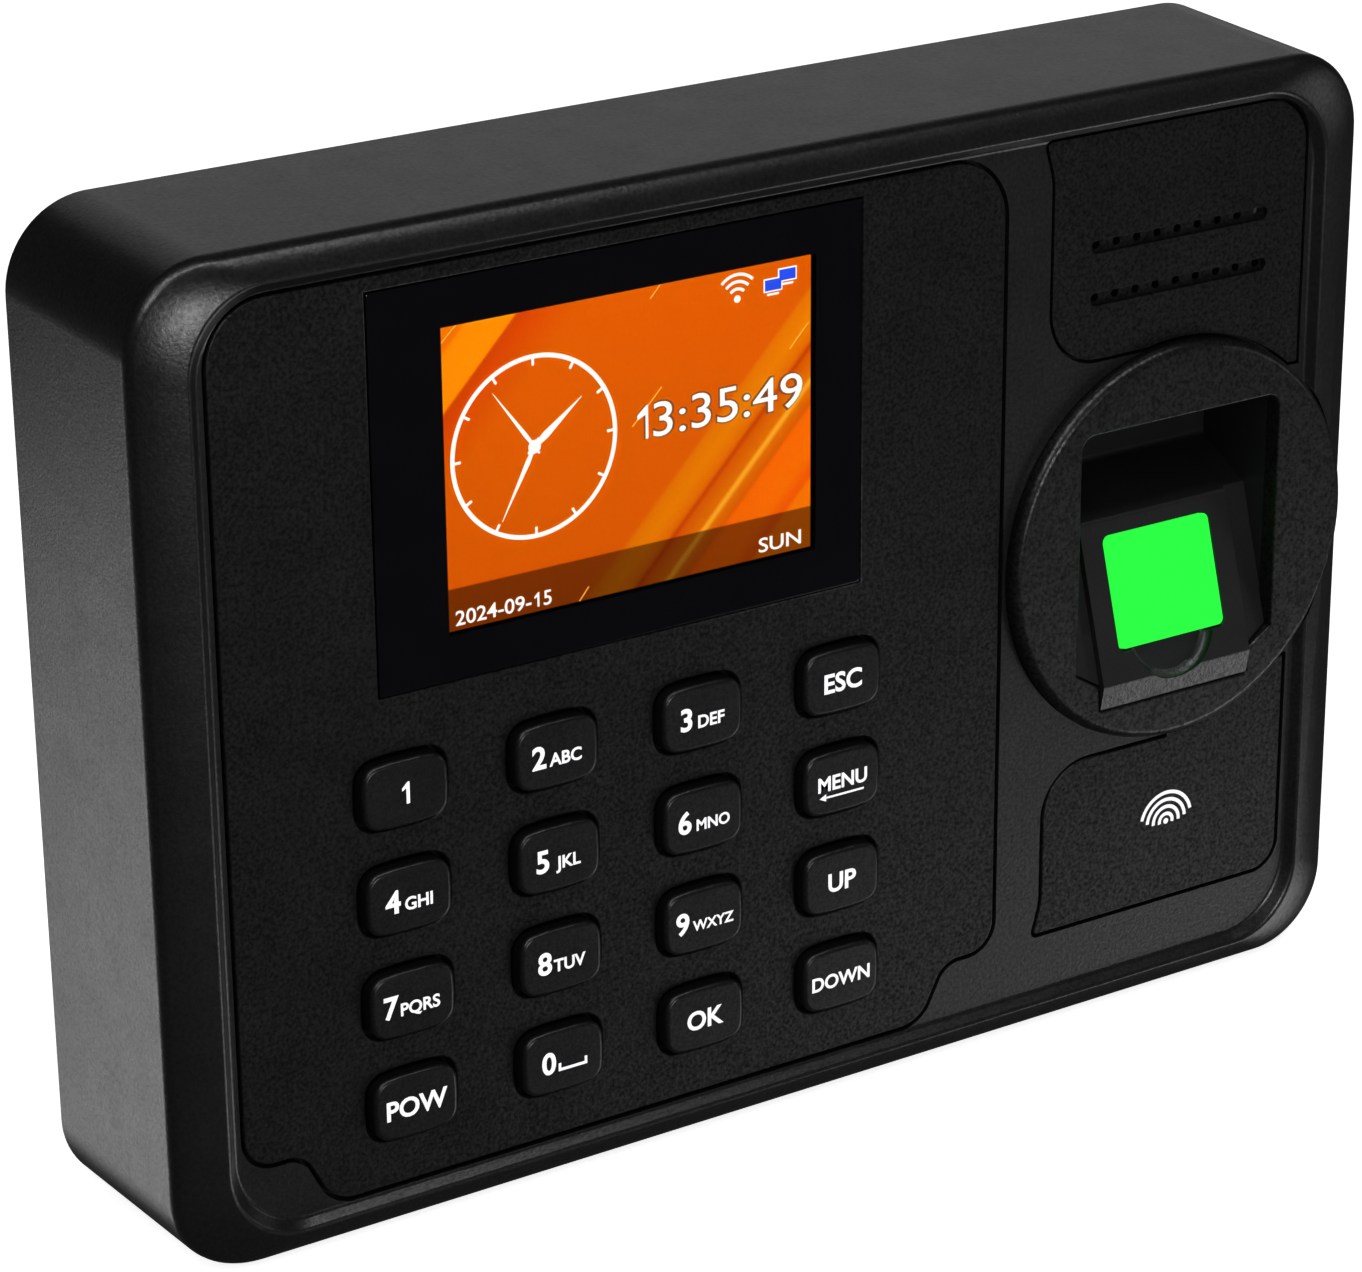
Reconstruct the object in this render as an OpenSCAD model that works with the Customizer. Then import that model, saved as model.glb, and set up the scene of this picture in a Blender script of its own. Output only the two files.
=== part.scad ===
// Wall-mounted fingerprint scanner terminal with a colour display and a sixteen-key pad.
// X runs to the right and Z upwards on the wall, and the front looks towards -Y.
// The origin is the middle of the wall plate's back face, where the terminal meets the wall.

/* [Body] */
// Width over the front edge
body_w = 196; // [190:1:260]
// Height over the front edge
body_h = 140; // [138:1:200]
// Depth from the wall to the face of the panels
body_d = 33.5; // [32:0.5:45]
// How much wider the back is than the front edge, on each side
body_draft = 1; // [0:0.1:2]
// Radius of the outer corners
corner_r = 12; // [8:0.5:18]
// Thickness of the side walls
wall_t = 2.2; // [1.6:0.1:3]
// Gap between the wall and the back edge of the front cover
wall_gap = 0.5; // [0.3:0.1:1]

/* [Rim] */
// Width of the sloping rim on the left and right
rim_side = 7.5; // [5:0.5:10]
// Width of the sloping rim at the top and bottom
rim_end = 4; // [3:0.5:6]
// Height of the rim's crest over the panels
rim_rise = 1.5; // [0.5:0.1:3]
// How far the rim falls from its crest to the front edge
rim_fall = 2.5; // [1:0.1:4]
// Width of the step from the crest down to the recess
rim_step = 1.3; // [0.6:0.1:2]

/* [Panels] */
// Thickness of the inlaid panels
panel_t = 2.2; // [1.6:0.1:3]
// Groove that shows round each inlaid panel
groove = 0.5; // [0.3:0.1:0.9]
// Ledge that each inlaid panel is bonded to
ledge_w = 2.4; // [1.5:0.1:3.5]
// Thickness of the ledge
ledge_t = 1.8; // [1.2:0.1:3]
// Space between the rim's crest and the panels, left and right
panel_side = 2.8; // [2:0.1:4]
// Space between the rim's crest and the panels, top and bottom
panel_end = 2; // [1.8:0.1:4]
// Width of the speaker grille and of the badge plate
side_plate_w = 44.7; // [42:0.1:60]
// Strip of the cover between the key panel and the side plates
strip_w = 8.3; // [8:0.1:14]
// Height of the stepped lower corners of the key panel
notch_h = 8.5; // [6:0.5:14]
// Width of the stepped lower corners at the panel's bottom edge
notch_w = 13; // [10:0.5:20]

/* [Display] */
// Width of the display lens
lens_w = 75.6; // [66:0.1:90]
// Height of the display lens
lens_h = 54.7; // [52:0.1:64]
// Thickness of the display lens
lens_t = 1.4; // [0.8:0.1:1.6]
// Distance of the lens from the key panel's left edge
lens_left = 22.7; // [16:0.1:30]
// Distance of the lens from the key panel's top edge
lens_top = 2.3; // [1.5:0.1:6]
// Width of the picture
picture_w = 57.6; // [50:0.1:60]
// Height of the picture
picture_h = 43.2; // [40:0.1:46]
// How far the picture sits right of the lens's middle
picture_shift = 1.6; // [-3:0.1:3]
// Thickness of the display's glass
glass_t = 1.3; // [1:0.1:1.6]
// Thickness of the backlight with its frame
backlight_t = 2.2; // [1.5:0.1:3]

/* [Keys] */
// Distance between the columns of keys
key_pitch_x = 23.1; // [19:0.1:25]
// Distance between the rows of keys
key_pitch_y = 15.2; // [13.6:0.1:17]
// Width of a key's cap
key_w = 12.9; // [10:0.1:14]
// Height of a key's cap
key_h = 9.5; // [8:0.1:10]
// Gap round a key's cap
key_gap = 0.45; // [0.3:0.05:0.8]
// How far a key stands over the panel
key_rise = 1.5; // [0.8:0.1:2.5]
// How far a key travels when pressed
key_travel = 1; // [0.5:0.1:1.2]
// Width of the flange that holds a key behind the panel
key_flange = 1; // [0.6:0.1:1.4]
// Distance from the key panel's left edge to the first column
keys_left = 25.3; // [20:0.1:32]
// Distance from the lens to the first row
keys_below = 13.4; // [12:0.1:20]

/* [Finger sensor] */
// Radius of the round bezel
ring_r = 30.1; // [29:0.1:31]
// How far the bezel stands over the panels
ring_rise = 2; // [1:0.1:3]
// How far the bezel is let into the cover
ring_sink = 0.8; // [0.4:0.1:1]
// Height of the bezel's middle over the middle of the body
ring_up = 1.7; // [-3:0.1:3]
// Width of the finger window
window_w = 35.8; // [33:0.1:37]
// Height of the finger window above the bezel's middle
window_up = 19.4; // [17:0.1:20]
// Depth of the finger window below the bezel's middle at its sides
window_down = 16.8; // [15:0.1:18]
// Width of the bed that carries the scan window
bed_w = 27; // [24:0.1:28]
// Width of the scan window
platen_w = 19; // [15:0.1:21]
// Length of the scan window along the slope
platen_l = 16.6; // [14:0.1:18]
// Thickness of the scan window
platen_t = 1.2; // [0.8:0.1:1.5]
// Slope of the bed
bed_tilt = 16.8; // [12:0.1:20]
// Depth of the finger well behind the panels at its top
well_d = 15; // [12:0.5:17]

/* [Ports] */
// Width of the network socket
rj_w = 16; // [15:0.1:17]
// Height of the network socket
rj_h = 13.4; // [12:0.1:14]
// Length of the network socket
rj_l = 18; // [14:0.5:21]
// Width of the USB socket
usb_w = 14.5; // [13:0.1:15]
// Height of the USB socket
usb_h = 7; // [6.5:0.1:7.5]
// Length of the USB socket
usb_l = 14; // [12:0.5:18]
// Radius of the hole for the power plug
jack_r = 3.2; // [3:0.05:3.4]
// Radius of the power jack's pin
jack_pin_r = 1.05; // [0.8:0.05:1.25]
// Outer size of the power jack's square nose
jack_w = 9; // [8:0.1:11]
// Length of the power jack
jack_l = 14; // [12:0.5:16]

/* [Fixings] */
// Thickness of the wall plate
plate_t = 1.5; // [1:0.1:2]
// Distance between the wall screws, across
wall_screw_x = 100; // [60:1:120]
// Distance between the wall screws, up
wall_screw_y = 70; // [50:1:90]
// Radius of the holes for the wall screws
wall_hole_r = 2.5; // [2:0.1:3]
// Radius of the case screws
case_screw_r = 1.5; // [1.2:0.1:1.7]
// Radius of the small screws inside
small_screw_r = 1; // [0.8:0.1:1.2]
// Thickness of the rear cover
rear_t = 1.8; // [1.4:0.1:2.5]
// How far the tamper plunger springs out
tamper_travel = 1.2; // [0.8:0.1:1.5]

/* [Hidden] */
$fn = 48;
KEY_NAMES = ["key_1", "key_2", "key_3", "key_esc", "key_4", "key_5", "key_6", "key_menu",
             "key_7", "key_8", "key_9", "key_up", "key_power", "key_0", "key_ok", "key_down"];

// Colours
shell_colour = "#222326";
panel_colour = "#1b1c1e";
board_colour = "#1d5a34";
metal_colour = "#b9bcc0";
brass_colour = "#c9a24a";

// Clearances
slide_gap = 0.3;    // between pieces that move past each other
seat_gap = 0.15;    // between pieces that are laid into one another
face_gap = 0.05;    // between faces that lie on one another
cut = 1;            // how far a cut runs past the face that it opens

// Levels, measured from the wall towards the front
edge_z = body_d + rim_rise - rim_fall;
crest_z = body_d + rim_rise;
panel_back_z = body_d - panel_t;
ledge_back_z = panel_back_z - ledge_t;
ceiling_z = body_d - 3;
floor_z = plate_t + 0.1;
rear_top_z = floor_z + rear_t;

// Lines on the front
rim_x = body_w / 2 - rim_side;
rim_y = body_h / 2 - rim_end;
panel_l = -rim_x + panel_side;
panel_top = rim_y - panel_end;
side_plate_r = rim_x - panel_side;
side_plate_l = side_plate_r - side_plate_w;
panel_r = side_plate_l - strip_w;
rim_corner_r = corner_r - 2.5;

// Display
lens_x = panel_l + lens_left + lens_w / 2;
lens_y = panel_top - lens_top - lens_h / 2;
lens_z = body_d - lens_t;
picture_x = lens_x + picture_shift;
tape_t = 0.3;
lens_seat_t = 0.6;
tape_z = lens_z - tape_t;
seat_back_z = tape_z - lens_seat_t;
glass_z = seat_back_z - face_gap - glass_t;
backlight_z = glass_z - face_gap - backlight_t;
display_w = picture_w + 8;
display_h = picture_h + 6.8;
frame_t = 0.4;

// Keys
key_x0 = panel_l + keys_left;
key_y0 = lens_y - lens_h / 2 - keys_below;
key_r = 3.4;
key_bow = 0.35;
flange_t = 1;
flange_z = panel_back_z - slide_gap - flange_t;
dome_z = flange_z - key_travel - 0.2;
mat_t = 0.9;
dome_h = 0.9;
mat_z = dome_z - dome_h - mat_t;
board_t = 1.6;
keypad_z = mat_z - face_gap - board_t;
keypad_l = key_x0 - 11;
keypad_r = key_x0 + 3 * key_pitch_x + 11;
keypad_edge = 9;
keypad_top = key_y0 + keypad_edge;
lowest_key_y = keypad_edge + 3 - panel_top;
row_pitch = min(key_pitch_y, (key_y0 - lowest_key_y) / 3);
keypad_bottom = key_y0 - 3 * row_pitch - keypad_edge;
keypad_posts = [for (i = [0.5, 2.5], j = [0.5, 2.5]) [key_x0 + i * key_pitch_x, key_y0 - j * row_pitch]];
post_r = 2.2;

// Finger sensor
ring_x = (side_plate_l + side_plate_r) / 2 + 0.6;
ring_seat_z = body_d - ring_sink;
ring_z = body_d + ring_rise;
collar_r = ring_r - 3;
window_x = ring_x - 0.6;
window_t = ring_up + window_up;
window_b = ring_up - window_down;
window_slant = 2.6;
// The bed's face passes through the panels' plane at this height, and falls inwards above it
bed_y0 = ring_up - 10.3;
bed_slope = tan(bed_tilt);
lip_y = window_b - window_slant;
apron_y = lip_y - 3.8;
lip_z = bed_z(lip_y);
ledge_drop = 1.2;
housing_wall = 2;
housing_back_z = 12.5;
housing_top = window_t + housing_wall;
housing_bottom = lip_y - housing_wall;
bed_top = ring_up + 3.6;
well_z = body_d - well_d;
platen_y = ring_up - 6.75;
sensor_screw_x = 24.5;
sensor_screw_y = 20;
flange_back_z = 24;
flange_front_z = 26;
prism_d = 8;

// Inside
inner_y = body_h / 2 - wall_t;
main_z = 7;
main_l = panel_l + 6;
main_r = panel_r - 1;
main_bottom = -inner_y + 3.5;
main_least_h = 65.9;
main_top = max(key_y0 + 8, main_bottom + main_least_h);
main_w = main_r - main_l;
port_y = -inner_y + 0.3;
flap_w = 16;
rj_x = main_l + 24;
usb_x = -flap_w / 2 - 11.7;
jack_x = flap_w / 2 + 10.3;
jack_z = main_z + board_t + jack_w / 2;
standoff_r = 3;
standoffs = [for (x = [main_l + 5, main_r - 5], y = [main_top - 5, main_bottom + 26]) [x, y]];
case_post_r = 3.6;
case_post_x = body_w / 2 - 9.6;
case_post_y = body_h / 2 - 9.6;
case_join_z = 9;
case_posts = concat([for (x = [-1, 1], y = [-1, 1]) [x * case_post_x, y * case_post_y]],
                    [for (y = [-1, 1]) [panel_r + strip_w / 2, y * case_post_y]]);
case_head_r = 2 * case_screw_r;
case_head_z = 4.2;
case_screw_l = 14;
speaker_x = (side_plate_l + side_plate_r) / 2;
speaker_y = (panel_top + ring_up + ring_r) / 2 + 0.2;
speaker_r = 13;
speaker_screw_x = speaker_r + 2.4;
gasket_t = 1.5;
cone_d = 6;
magnet_d = 3.5;
wall_plate_w = body_w - 40;
wall_plate_h = body_h - 34;
plate_corner_r = 5;
flap_h = 9;
flap_y = -inner_y + 1.2;
security_z = 5.2;
battery_w = 60;
battery_h = 32;
battery_t = 7;
battery_x = lens_x - 10;
battery_y = main_top + 4 + battery_h / 2;
hook_x = wall_plate_w / 2 - 14;
hook_y = wall_plate_h / 2 - 14;
tamper_x = 0;
tamper_y = main_top + 26;
tamper_r = 1.6;
tamper_body_z = rear_top_z + 3;

// Height of the bed's face over the wall at a height y on the body
function bed_z(y) = body_d + (bed_y0 - y) * bed_slope;

// Points of a fillet of radius r where the edges from a to b and from b to c meet
function fillet(a, b, c, r, n = 8) =
    r == 0 ? [b] :
    let (u = (a - b) / norm(a - b),
         v = (c - b) / norm(c - b),
         half = acos(u * v) / 2,
         centre = b + (u + v) / norm(u + v) * r / sin(half),
         start = b + u * r / tan(half) - centre,
         sweep = (cross(-u, v) > 0 ? 1 : -1) * (180 - 2 * half))
    [for (i = [0:n]) let (t = sweep * i / n)
        centre + [start.x * cos(t) - start.y * sin(t), start.x * sin(t) + start.y * cos(t)]];

// A closed path of [x, y, fillet radius] as plain points
function rounded(path) = let (m = len(path), flat = [for (q = path) [q.x, q.y]])
    [for (i = [0:m - 1]) each fillet(flat[(i + m - 1) % m], flat[i], flat[(i + 1) % m], path[i].z)];

// Stands a drawing that lies face up on the wall, with its top looking towards the front
module stand() {
    rotate([90, 0, 0]) children();
}

// Rectangle round its middle with rounded corners
module round_rect(w, h, r) {
    polygon(rounded([[-w / 2, -h / 2, r], [w / 2, -h / 2, r], [w / 2, h / 2, r], [-w / 2, h / 2, r]]));
}

module plate(x, y, z, w, h, t, r = 1) {
    translate([x, y, z]) linear_extrude(t) round_rect(w, h, r);
}

module box(x0, x1, y0, y1, z0, z1) {
    translate([x0, y0, z0]) cube([x1 - x0, y1 - y0, z1 - z0]);
}

module rod(x, y, z, r, l) {
    translate([x, y, z]) cylinder(r = r, h = l);
}

// Screw with a flat round head at z, its shank pointing to the front
module screw(x, y, z, r, l, head_t = 1.2) {
    difference() {
        union() {
            rod(x, y, z - head_t, 2 * r, head_t);
            rod(x, y, z - face_gap, r, l);
        }
        box(x - 1.2 * r, x + 1.2 * r, y - 0.2 * r, y + 0.2 * r, z - head_t - cut, z - 0.5 * head_t);
        box(x - 0.2 * r, x + 0.2 * r, y - 1.2 * r, y + 1.2 * r, z - head_t - cut, z - 0.5 * head_t);
    }
}

// ---- Outlines on the front ----

module key_panel_outline(grow = 0) {
    b = -panel_top;
    s = notch_h / 2;
    offset(delta = grow)
        polygon(rounded([
            [panel_l, panel_top, 8.5], [panel_l, b + notch_h, 4.5],
            [panel_l + notch_w - s, b + notch_h, 4], [panel_l + notch_w, b, 5],
            [panel_r - notch_w, b, 5], [panel_r - notch_w + s, b + notch_h, 4],
            [panel_r, b + notch_h, 4.5], [panel_r, panel_top, 9]]));
}

module ring_outline(grow = 0) {
    translate([ring_x, ring_up]) circle(r = ring_r + grow, $fn = 96);
}

module speaker_outline(grow = 0) {
    low = ring_up + ring_r - 0.1;
    flare = 1.5;
    offset(delta = grow) difference() {
        polygon(rounded([
            [side_plate_l - flare, panel_top + 0.4, 0], [side_plate_l, panel_top - 5, 8],
            [side_plate_l, low, 8], [ring_x, low, 0], [ring_x, low - 7, 0],
            [side_plate_r, low - 7, 0.8], [side_plate_r, panel_top + 0.4, 7]]));
        ring_outline(groove);
    }
}

module badge_outline(grow = 0) {
    high = ring_up - ring_r - 1;
    low = -panel_top + notch_h;
    flare = 1;
    offset(delta = grow) difference() {
        polygon(rounded([
            [side_plate_l - flare, low, 0], [side_plate_r, low, 4.5], [side_plate_r, high + 8, 0.8],
            [ring_x, high + 8, 0], [ring_x, high, 0], [side_plate_l + 0.4, high, 8],
            [side_plate_l + 0.4, low + 5, 8]]));
        ring_outline(groove);
    }
}

module key_outline(grow = 0) {
    w = key_w / 2 + grow;
    h = key_h / 2 + grow;
    r = key_r + grow;
    b = key_bow;
    polygon(rounded([
        [-w, -h + b, r], [-w / 3, -h, 0], [w / 3, -h, 0], [w, -h + b, r],
        [w, h - b, r], [w / 3, h, 0], [-w / 3, h, 0], [-w, h - b, r]]));
}

module window_outline(grow = 0) {
    w = window_w / 2 + grow;
    chin = bed_w / 2 + seat_gap + grow;
    translate([window_x, 0]) polygon(rounded([
        [-w, window_t + grow, 2.2], [-w, window_b - grow, 0], [-chin, lip_y - grow, 0],
        [-chin, apron_y - seat_gap - grow, 0.5], [chin, apron_y - seat_gap - grow, 0.5],
        [chin, lip_y - grow, 0], [w, window_b - grow, 0], [w, window_t + grow, 2.2]]));
}

// Outline of the body's side walls, inset by a distance and widened by the draft
module body_outline(inset = 0, widen = 0) {
    round_rect(body_w + 2 * (widen - inset), body_h + 2 * (widen - inset), corner_r - inset + widen);
}

// ---- Housing ----

module body_form(inset, z_low, z_edge) {
    sliver = 0.01;
    hull() {
        translate([0, 0, z_low]) linear_extrude(sliver, $fn = 32) body_outline(inset, body_draft);
        translate([0, 0, z_edge - sliver]) linear_extrude(sliver) body_outline(inset);
    }
}

module rim_form() {
    sliver = 0.01;
    hull() {
        translate([0, 0, edge_z - sliver]) linear_extrude(sliver) body_outline();
        translate([0, 0, crest_z - sliver]) linear_extrude(sliver)
            round_rect(2 * rim_x, 2 * rim_y, rim_corner_r);
    }
}

module front_cover() {
    color(shell_colour) stand() difference() {
        union() {
            difference() {
                union() {
                    body_form(0, wall_gap, edge_z);
                    rim_form();
                }
                translate([0, 0, wall_gap - cut])
                    linear_extrude(cut + face_gap) body_outline(wall_t, body_draft);
                body_form(wall_t, wall_gap, ceiling_z);
                translate([0, 0, body_d]) linear_extrude(rim_rise + cut)
                    round_rect(2 * (rim_x - rim_step), 2 * (rim_y - rim_step), rim_corner_r - 1);
            }
            translate([0, 0, ledge_back_z]) linear_extrude(ceiling_z - ledge_back_z + face_gap) {
                key_panel_outline(0.6);
                speaker_outline(0.6);
                badge_outline(0.6);
            }
            for (p = case_posts) rod(p.x, p.y, case_join_z, case_post_r, ceiling_z - case_join_z + face_gap);
            for (x = [-1, 1], y = [-1, 1])
                rod(ring_x + x * sensor_screw_x, ring_up + y * sensor_screw_y, flange_front_z + face_gap,
                    3, ceiling_z - flange_front_z);
        }
        // Seats of the inlaid panels
        translate([0, 0, panel_back_z]) linear_extrude(panel_t + cut) {
            key_panel_outline(groove);
            speaker_outline(groove);
            badge_outline(groove);
        }
        translate([0, 0, ledge_back_z - cut]) linear_extrude(ledge_t + panel_t + 2 * cut) {
            key_panel_outline(-ledge_w);
            speaker_outline(-ledge_w);
            badge_outline(-ledge_w);
        }
        // Seat of the round bezel and the hole for the sensor's collar
        rod(ring_x, ring_up, ring_seat_z, ring_r + seat_gap, ring_rise + ring_sink + cut);
        rod(ring_x, ring_up, ledge_back_z - cut, collar_r + slide_gap, body_d);
        // Screw holes
        for (p = case_posts) rod(p.x, p.y, case_join_z - cut, case_screw_r - 0.1, case_screw_l);
        for (x = [-1, 1], y = [-1, 1])
            rod(ring_x + x * sensor_screw_x, ring_up + y * sensor_screw_y, flange_front_z - cut,
                small_screw_r - 0.1, 5.6);
        // Ports through the bottom wall
        port_hole(rj_x, main_z + board_t, rj_w, rj_h);
        port_hole(usb_x, main_z + board_t, usb_w, usb_h);
        translate([jack_x, -body_h, jack_z]) rotate([-90, 0, 0]) cylinder(r = 5.6, h = body_h / 2 + 5);
        translate([0, -body_h, security_z]) rotate([-90, 0, 0])
            cylinder(r = case_screw_r + 0.3, h = body_h / 2 + 5);
        // Recess for the security screw's head
        translate([0, -body_h, security_z]) rotate([-90, 0, 0])
            cylinder(r = case_head_r + 0.4, h = body_h / 2 + 0.9);
    }
}

module port_hole(x, z, w, h) {
    play = 0.3;
    box(x - w / 2 - play, x + w / 2 + play, -body_h, -inner_y + 5, z - play, z + h + play);
}

module key_panel() {
    pocket_w = lens_w + 2 * seat_gap;
    pocket_h = lens_h + 2 * seat_gap;
    color(panel_colour) stand() difference() {
        union() {
            translate([0, 0, panel_back_z + face_gap]) linear_extrude(panel_t - face_gap) key_panel_outline();
            for (p = keypad_posts)
                rod(p.x, p.y, keypad_z + board_t + face_gap, post_r, panel_back_z - keypad_z - board_t + 0.5);
        }
        plate(lens_x, lens_y, tape_z - face_gap, pocket_w, pocket_h, lens_t + tape_t + cut, 0.5);
        plate(picture_x, lens_y, ledge_back_z, picture_w + 3, picture_h + 3, body_d, 0.5);
        for (i = [0:3], j = [0:3]) key_place(i, j)
            translate([0, 0, ledge_back_z]) linear_extrude(body_d) key_outline(key_gap);
        for (p = keypad_posts) rod(p.x, p.y, keypad_z, small_screw_r - 0.1, panel_back_z - keypad_z + 0.6);
    }
}

module speaker_grille() {
    slot_w = 31.5;
    slot_h = 1.9;
    slot_pitch = 7.6;
    slot_d = 0.8;
    hole_r = 0.7;
    hole_n = 9;
    color(panel_colour) stand() difference() {
        union() {
            translate([0, 0, panel_back_z + face_gap]) linear_extrude(panel_t - face_gap) speaker_outline();
            for (s = [-1, 1])
                rod(speaker_x + s * speaker_screw_x, speaker_y,
                    panel_back_z - gasket_t + face_gap, 1.9, gasket_t);
        }
        for (y = [speaker_y - slot_pitch, speaker_y]) {
            translate([speaker_x, y, body_d - slot_d]) linear_extrude(slot_d + cut)
                round_rect(slot_w, slot_h, slot_h / 2 - 0.01);
            for (i = [0:hole_n - 1])
                rod(speaker_x + (i - (hole_n - 1) / 2) * slot_w / hole_n, y,
                    panel_back_z - cut, hole_r, panel_t + cut);
        }
        for (s = [-1, 1])
            rod(speaker_x + s * speaker_screw_x, speaker_y, panel_back_z - gasket_t - cut,
                small_screw_r - 0.1, gasket_t + cut + 1.2);
    }
}

module badge_plate() {
    color(panel_colour) stand() translate([0, 0, panel_back_z + face_gap])
        linear_extrude(panel_t - face_gap) badge_outline();
}

// ---- Display ----

module display_lens() {
    color("#0a0b0d") stand() plate(lens_x, lens_y, lens_z, lens_w, lens_h, lens_t, 0.5);
}

module lens_tape() {
    color("#d8d4c4") stand() difference() {
        plate(lens_x, lens_y, tape_z + face_gap / 2, lens_w - 0.8, lens_h - 0.8, tape_t - face_gap, 0.5);
        plate(picture_x, lens_y, tape_z - cut, picture_w + 3.4, picture_h + 3.4, 3 * cut, 0.5);
    }
}

module display_glass() {
    color("#e77512") stand() plate(picture_x, lens_y, glass_z, display_w - 2, display_h - 2, glass_t, 0.3);
}

module display_backlight() {
    color("#eef0f2") stand()
        plate(picture_x, lens_y, backlight_z, display_w - 2, display_h - 2, backlight_t, 0.3);
}

// Pressed metal tray that holds the glass and the backlight
module display_frame() {
    back_z = backlight_z - face_gap - frame_t;
    side_h = seat_back_z - face_gap - back_z;
    tray_wall = 2 * frame_t + 0.6;
    color(metal_colour) stand() difference() {
        plate(picture_x, lens_y, back_z, display_w, display_h, side_h, 0.8);
        plate(picture_x, lens_y, back_z + frame_t, display_w - tray_wall, display_h - tray_wall,
            side_h + cut, 0.4);
        box(picture_x - 10, picture_x + 10, lens_y - display_h, lens_y - display_h / 2 + 3,
            back_z + frame_t, back_z + side_h + cut);
    }
}

// Flat lead from the display's lower edge, folded behind it and down to the main board
module display_flex() {
    top_z = glass_z + 0.2;
    low_y = lens_y - display_h / 2;
    t = 0.25;
    fold_y = low_y - 1.4;
    color("#c98a2c") stand() union() {
        box(picture_x - 8, picture_x + 8, fold_y, low_y + 0.9, top_z, top_z + t);
        box(picture_x - 8, picture_x + 8, fold_y, fold_y + t, main_z + board_t + 2, top_z + t);
        box(picture_x - 8, picture_x + 8, fold_y - 6, fold_y + t,
            main_z + board_t + 2, main_z + board_t + 2 + t);
    }
}

// ---- Keys ----

module key_place(i, j) {
    translate([key_x0 + i * key_pitch_x, key_y0 - j * row_pitch, 0]) children();
}

module key_cap(i, j) {
    bevel = 0.6;
    sliver = 0.01;
    color(panel_colour) stand() key_place(i, j) {
        translate([0, 0, flange_z + flange_t - face_gap])
            linear_extrude(body_d + key_rise - bevel - flange_z - flange_t + face_gap) key_outline();
        hull() {
            translate([0, 0, body_d + key_rise - bevel - sliver]) linear_extrude(sliver) key_outline();
            translate([0, 0, body_d + key_rise - sliver]) linear_extrude(sliver) key_outline(-bevel);
        }
        translate([0, 0, flange_z]) linear_extrude(flange_t)
            round_rect(key_w + 2 * key_flange, key_h + 2 * key_flange, 2);
    }
}

module key_mat() {
    color("#3a3c40") stand() difference() {
        union() {
            plate((keypad_l + keypad_r) / 2, (keypad_top + keypad_bottom) / 2, mat_z,
                  keypad_r - keypad_l - 1, keypad_top - keypad_bottom - 1, mat_t, 3);
            for (i = [0:3], j = [0:3]) key_place(i, j) {
                translate([0, 0, mat_z + mat_t - face_gap]) cylinder(r1 = 4, r2 = 2.8, h = dome_h + face_gap);
            }
        }
        for (i = [0:3], j = [0:3]) key_place(i, j)
            translate([0, 0, mat_z - cut]) cylinder(r = 2.2, h = cut + mat_t);
        for (p = keypad_posts) rod(p.x, p.y, mat_z - cut, post_r + slide_gap, 3 * cut);
    }
}

module keypad_board() {
    color(board_colour) stand() {
        difference() {
            plate((keypad_l + keypad_r) / 2, (keypad_top + keypad_bottom) / 2, keypad_z,
                  keypad_r - keypad_l, keypad_top - keypad_bottom, board_t, 2);
            for (p = keypad_posts) rod(p.x, p.y, keypad_z - cut, small_screw_r + 0.2, board_t + 2 * cut);
        }
    }
}

module keypad_screws() {
    color(metal_colour) stand() for (p = keypad_posts)
        screw(p.x, p.y, keypad_z - face_gap, small_screw_r - 0.1, 5);
}

// ---- Finger sensor ----

module finger_bezel() {
    bevel = 0.8;
    color(shell_colour) stand() difference() {
        union() {
            rod(ring_x, ring_up, ring_seat_z + face_gap, ring_r, ring_rise + ring_sink - face_gap - bevel);
            translate([ring_x, ring_up, ring_z - bevel])
                cylinder(r1 = ring_r, r2 = ring_r - bevel, h = bevel, $fn = 96);
        }
        translate([0, 0, ring_seat_z - cut]) linear_extrude(ring_rise + ring_sink + 2 * cut) window_outline();
    }
}

// Profile across the bed, drawn in [height, distance from the wall] and swept over a width
module sweep_x(w) {
    translate([window_x - w / 2, 0, 0]) rotate([90, 0, 90]) linear_extrude(w) children();
}

module well_cut(w, drop) {
    high = ring_z + 4;
    sweep_x(w) polygon([
        [window_t, high], [window_t, well_z], [bed_top + 5, well_z], [bed_top, bed_z(bed_top) - drop],
        [lip_y, bed_z(lip_y) - drop], [lip_y, high]]);
}

module on_bed(lift = 0) {
    translate([window_x, platen_y, bed_z(platen_y)]) rotate([-bed_tilt, 0, 0])
        translate([0, 0, lift]) children();
}

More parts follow.
